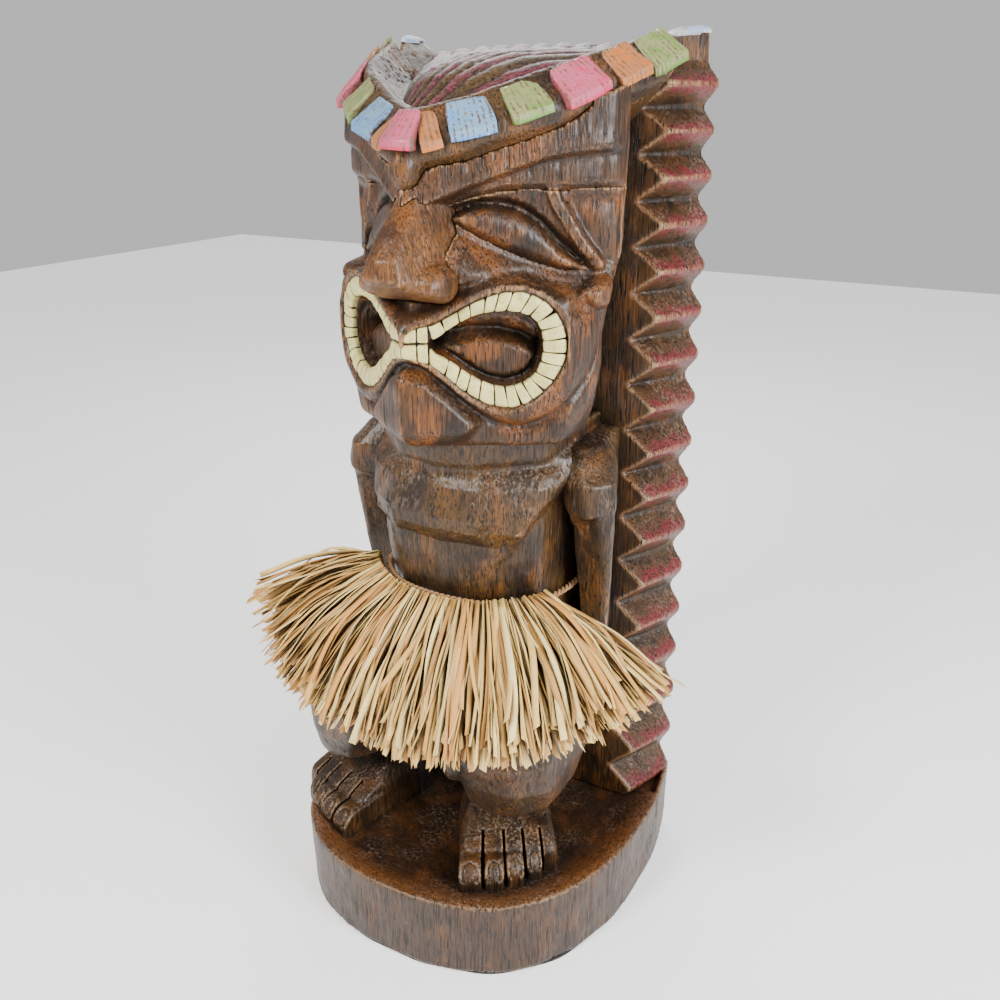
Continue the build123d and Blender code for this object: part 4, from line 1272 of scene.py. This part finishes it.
def ribbon(rng, angle, layer, stray=0.0):
    """One ribbon from the waist to the hem: its middle line, and which way its tip points."""
    swing = rng.gauss(0, 7.5 + 9 * stray)
    side = min(abs(angle) / HALF_FAN, 1.0)
    turn, tip_turn = math.radians(angle), math.radians(angle + swing)
    reach = 48 + 50 * side
    drop = 96 - 52 * side**1.5
    steep = math.atan2(drop, reach)
    length = 1.0 + rng.uniform(-0.17, 0.05) - 0.05 * (1 - layer)
    if rng.random() < 0.12:
        length *= rng.uniform(0.72, 0.95)
    thick = 3 + 6 * layer
    line = []
    steps = 11
    arch = rng.uniform(2, 9) * (0.4 + 0.6 * layer)
    wob = rng.uniform(-1, 1), rng.uniform(-1, 1), rng.uniform(0, 6.3)
    for k in range(steps):
        t = k / (steps - 1)
        share = t * length
        way = turn * (1 - t**0.8) + tip_turn * t**0.8
        lift = thick + (2 + 13 * layer) * t + arch * math.sin(math.pi * min(t * 1.05, 1))
        lift += 2.8 * wob[0] * math.sin(6 * t + wob[2])
        out = reach * share + lift * math.sin(steep)
        side_shift = 5.5 * wob[1] * math.sin(3.6 * t + wob[2]) * t
        x = 70 * math.sin(turn * 0.86) + out * math.sin(way) + side_shift * math.cos(way)
        y = 4 - 46 * math.cos(turn * 0.86) - out * math.cos(way) + side_shift * math.sin(way)
        z = 250 + 6 * layer - drop * share + lift * math.cos(steep)
        line.append((x, y, z))
    return np.array(line), way


per_hank = 115
for hank in range(HANKS):
    low = HALF_FAN * (2 * hank / HANKS - 1)
    high = HALF_FAN * (2 * (hank + 1) / HANKS - 1)
    points, faces, straw_tone_and_shade = [], [], []
    count = 0
    for index in range(per_hank):
        layer = index / (per_hank - 1)
        angle = skirt_rng.uniform(low, high)
        stray = 1.0 if skirt_rng.random() < 0.05 else 0.0
        line, way = ribbon(skirt_rng, angle, layer, stray)
        wide = skirt_rng.choice((1.4, 2.2, 3.0, 3.6, 4.2, 5.0)) * 0.5 * skirt_rng.uniform(0.85, 1.15)
        roll = skirt_rng.gauss(0, 0.6)
        spin = skirt_rng.gauss(0, 0.9)
        # Random straw tone for each ribbon, plus painted shade: the inner ribbons, under the outer ones, are
        # darker.
        shade = skirt_rng.random() ** 0.8 * (0.35 + 0.65 * layer) if skirt_rng.random() < 0.9 else 1.0
        tangent = np.gradient(line, axis=0)
        tangent /= np.linalg.norm(tangent, axis=1)[:, None]
        across = np.array([math.cos(way), math.sin(way), 0.0])
        over = np.cross(across, tangent)
        over /= np.linalg.norm(over, axis=1)[:, None]
        if over[0, 2] < 0:
            over = -over
        share = np.linspace(0, 1, len(line))
        angle_here = roll + spin * share
        c, s = np.cos(angle_here)[:, None], np.sin(angle_here)[:, None]
        flat, fold = across * c + over * s, over * c - across * s
        taper = (0.55 + 0.45 * np.minimum(share * 3, 1))[:, None] * wide
        left = line - flat * taper
        right = line + flat * taper
        keel = line + fold * (0.28 * taper)
        ragged = skirt_rng.uniform(-2.5, 2.5)
        left[-1] += tangent[-1] * ragged
        right[-1] -= tangent[-1] * ragged
        strip = np.stack([left, keel, right], axis=1).reshape(-1, 3)
        under = strip - np.repeat(fold, 3, axis=0) * 0.28
        points += [strip, under]
        rows = len(line)
        for k in range(rows - 1):
            for j in (0, 1):
                a = count + 3 * k + j
                faces.append([a, a + 1, a + 4, a + 3])
                b = a + 3 * rows
                faces.append([b + 3, b + 4, b + 1, b])
            a, b = count + 3 * k, count + 3 * k + 3 * rows
            faces.append([a + 3, b + 3, b, a])
            faces.append([a + 2, b + 2, b + 5, a + 5])
        for k in (0, rows - 1):
            a, b = count + 3 * k, count + 3 * k + 3 * rows
            for j in (0, 1):
                quad = [a + j, b + j, b + j + 1, a + j + 1]
                faces.append(quad if k == 0 else quad[::-1])
        straw_tone_and_shade += [shade] * (6 * rows)
        count += 6 * rows
    node = f"raffia_hank_{hank + 1}"
    piece(f"{node}_strands", np.concatenate(points), np.array(faces), node, straw.material, tone=straw_tone_and_shade)

# Fittings that stay as they are in CAD, with finishes of their own
steel = Finish("screw_steel")
brushed = steel.speckle((1.2, 1.2, 4), 3.0)
steel.shader.inputs["Metallic"].default_value = 1.0
greys = steel.ramp(brushed, [(0.3, tint(128, 128, 126)), (0.7, tint(190, 188, 182))])
steel.finish(greys, 0.35, brushed, 0.1)
felt = Finish("pad_felt")
nap = felt.speckle((0.9, 0.9, 0.9), 4.0)
felt.finish(felt.ramp(nap, [(0.3, tint(28, 26, 25)), (0.7, tint(52, 49, 46))]), 0.95, nap, 0.6)
dowel = timber(
    "peg_beech",
    ((150, 112, 72), (186, 146, 98), (204, 166, 116), (214, 180, 134)),
    ash_and_top_highlight=0.1, crack=0.3, lie="y",
)
for node, finish in (("base_screws", steel.material), ("base_pad", felt.material), ("wooden_pegs", dowel)):
    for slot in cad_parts[node].material_slots:
        slot.material = finish
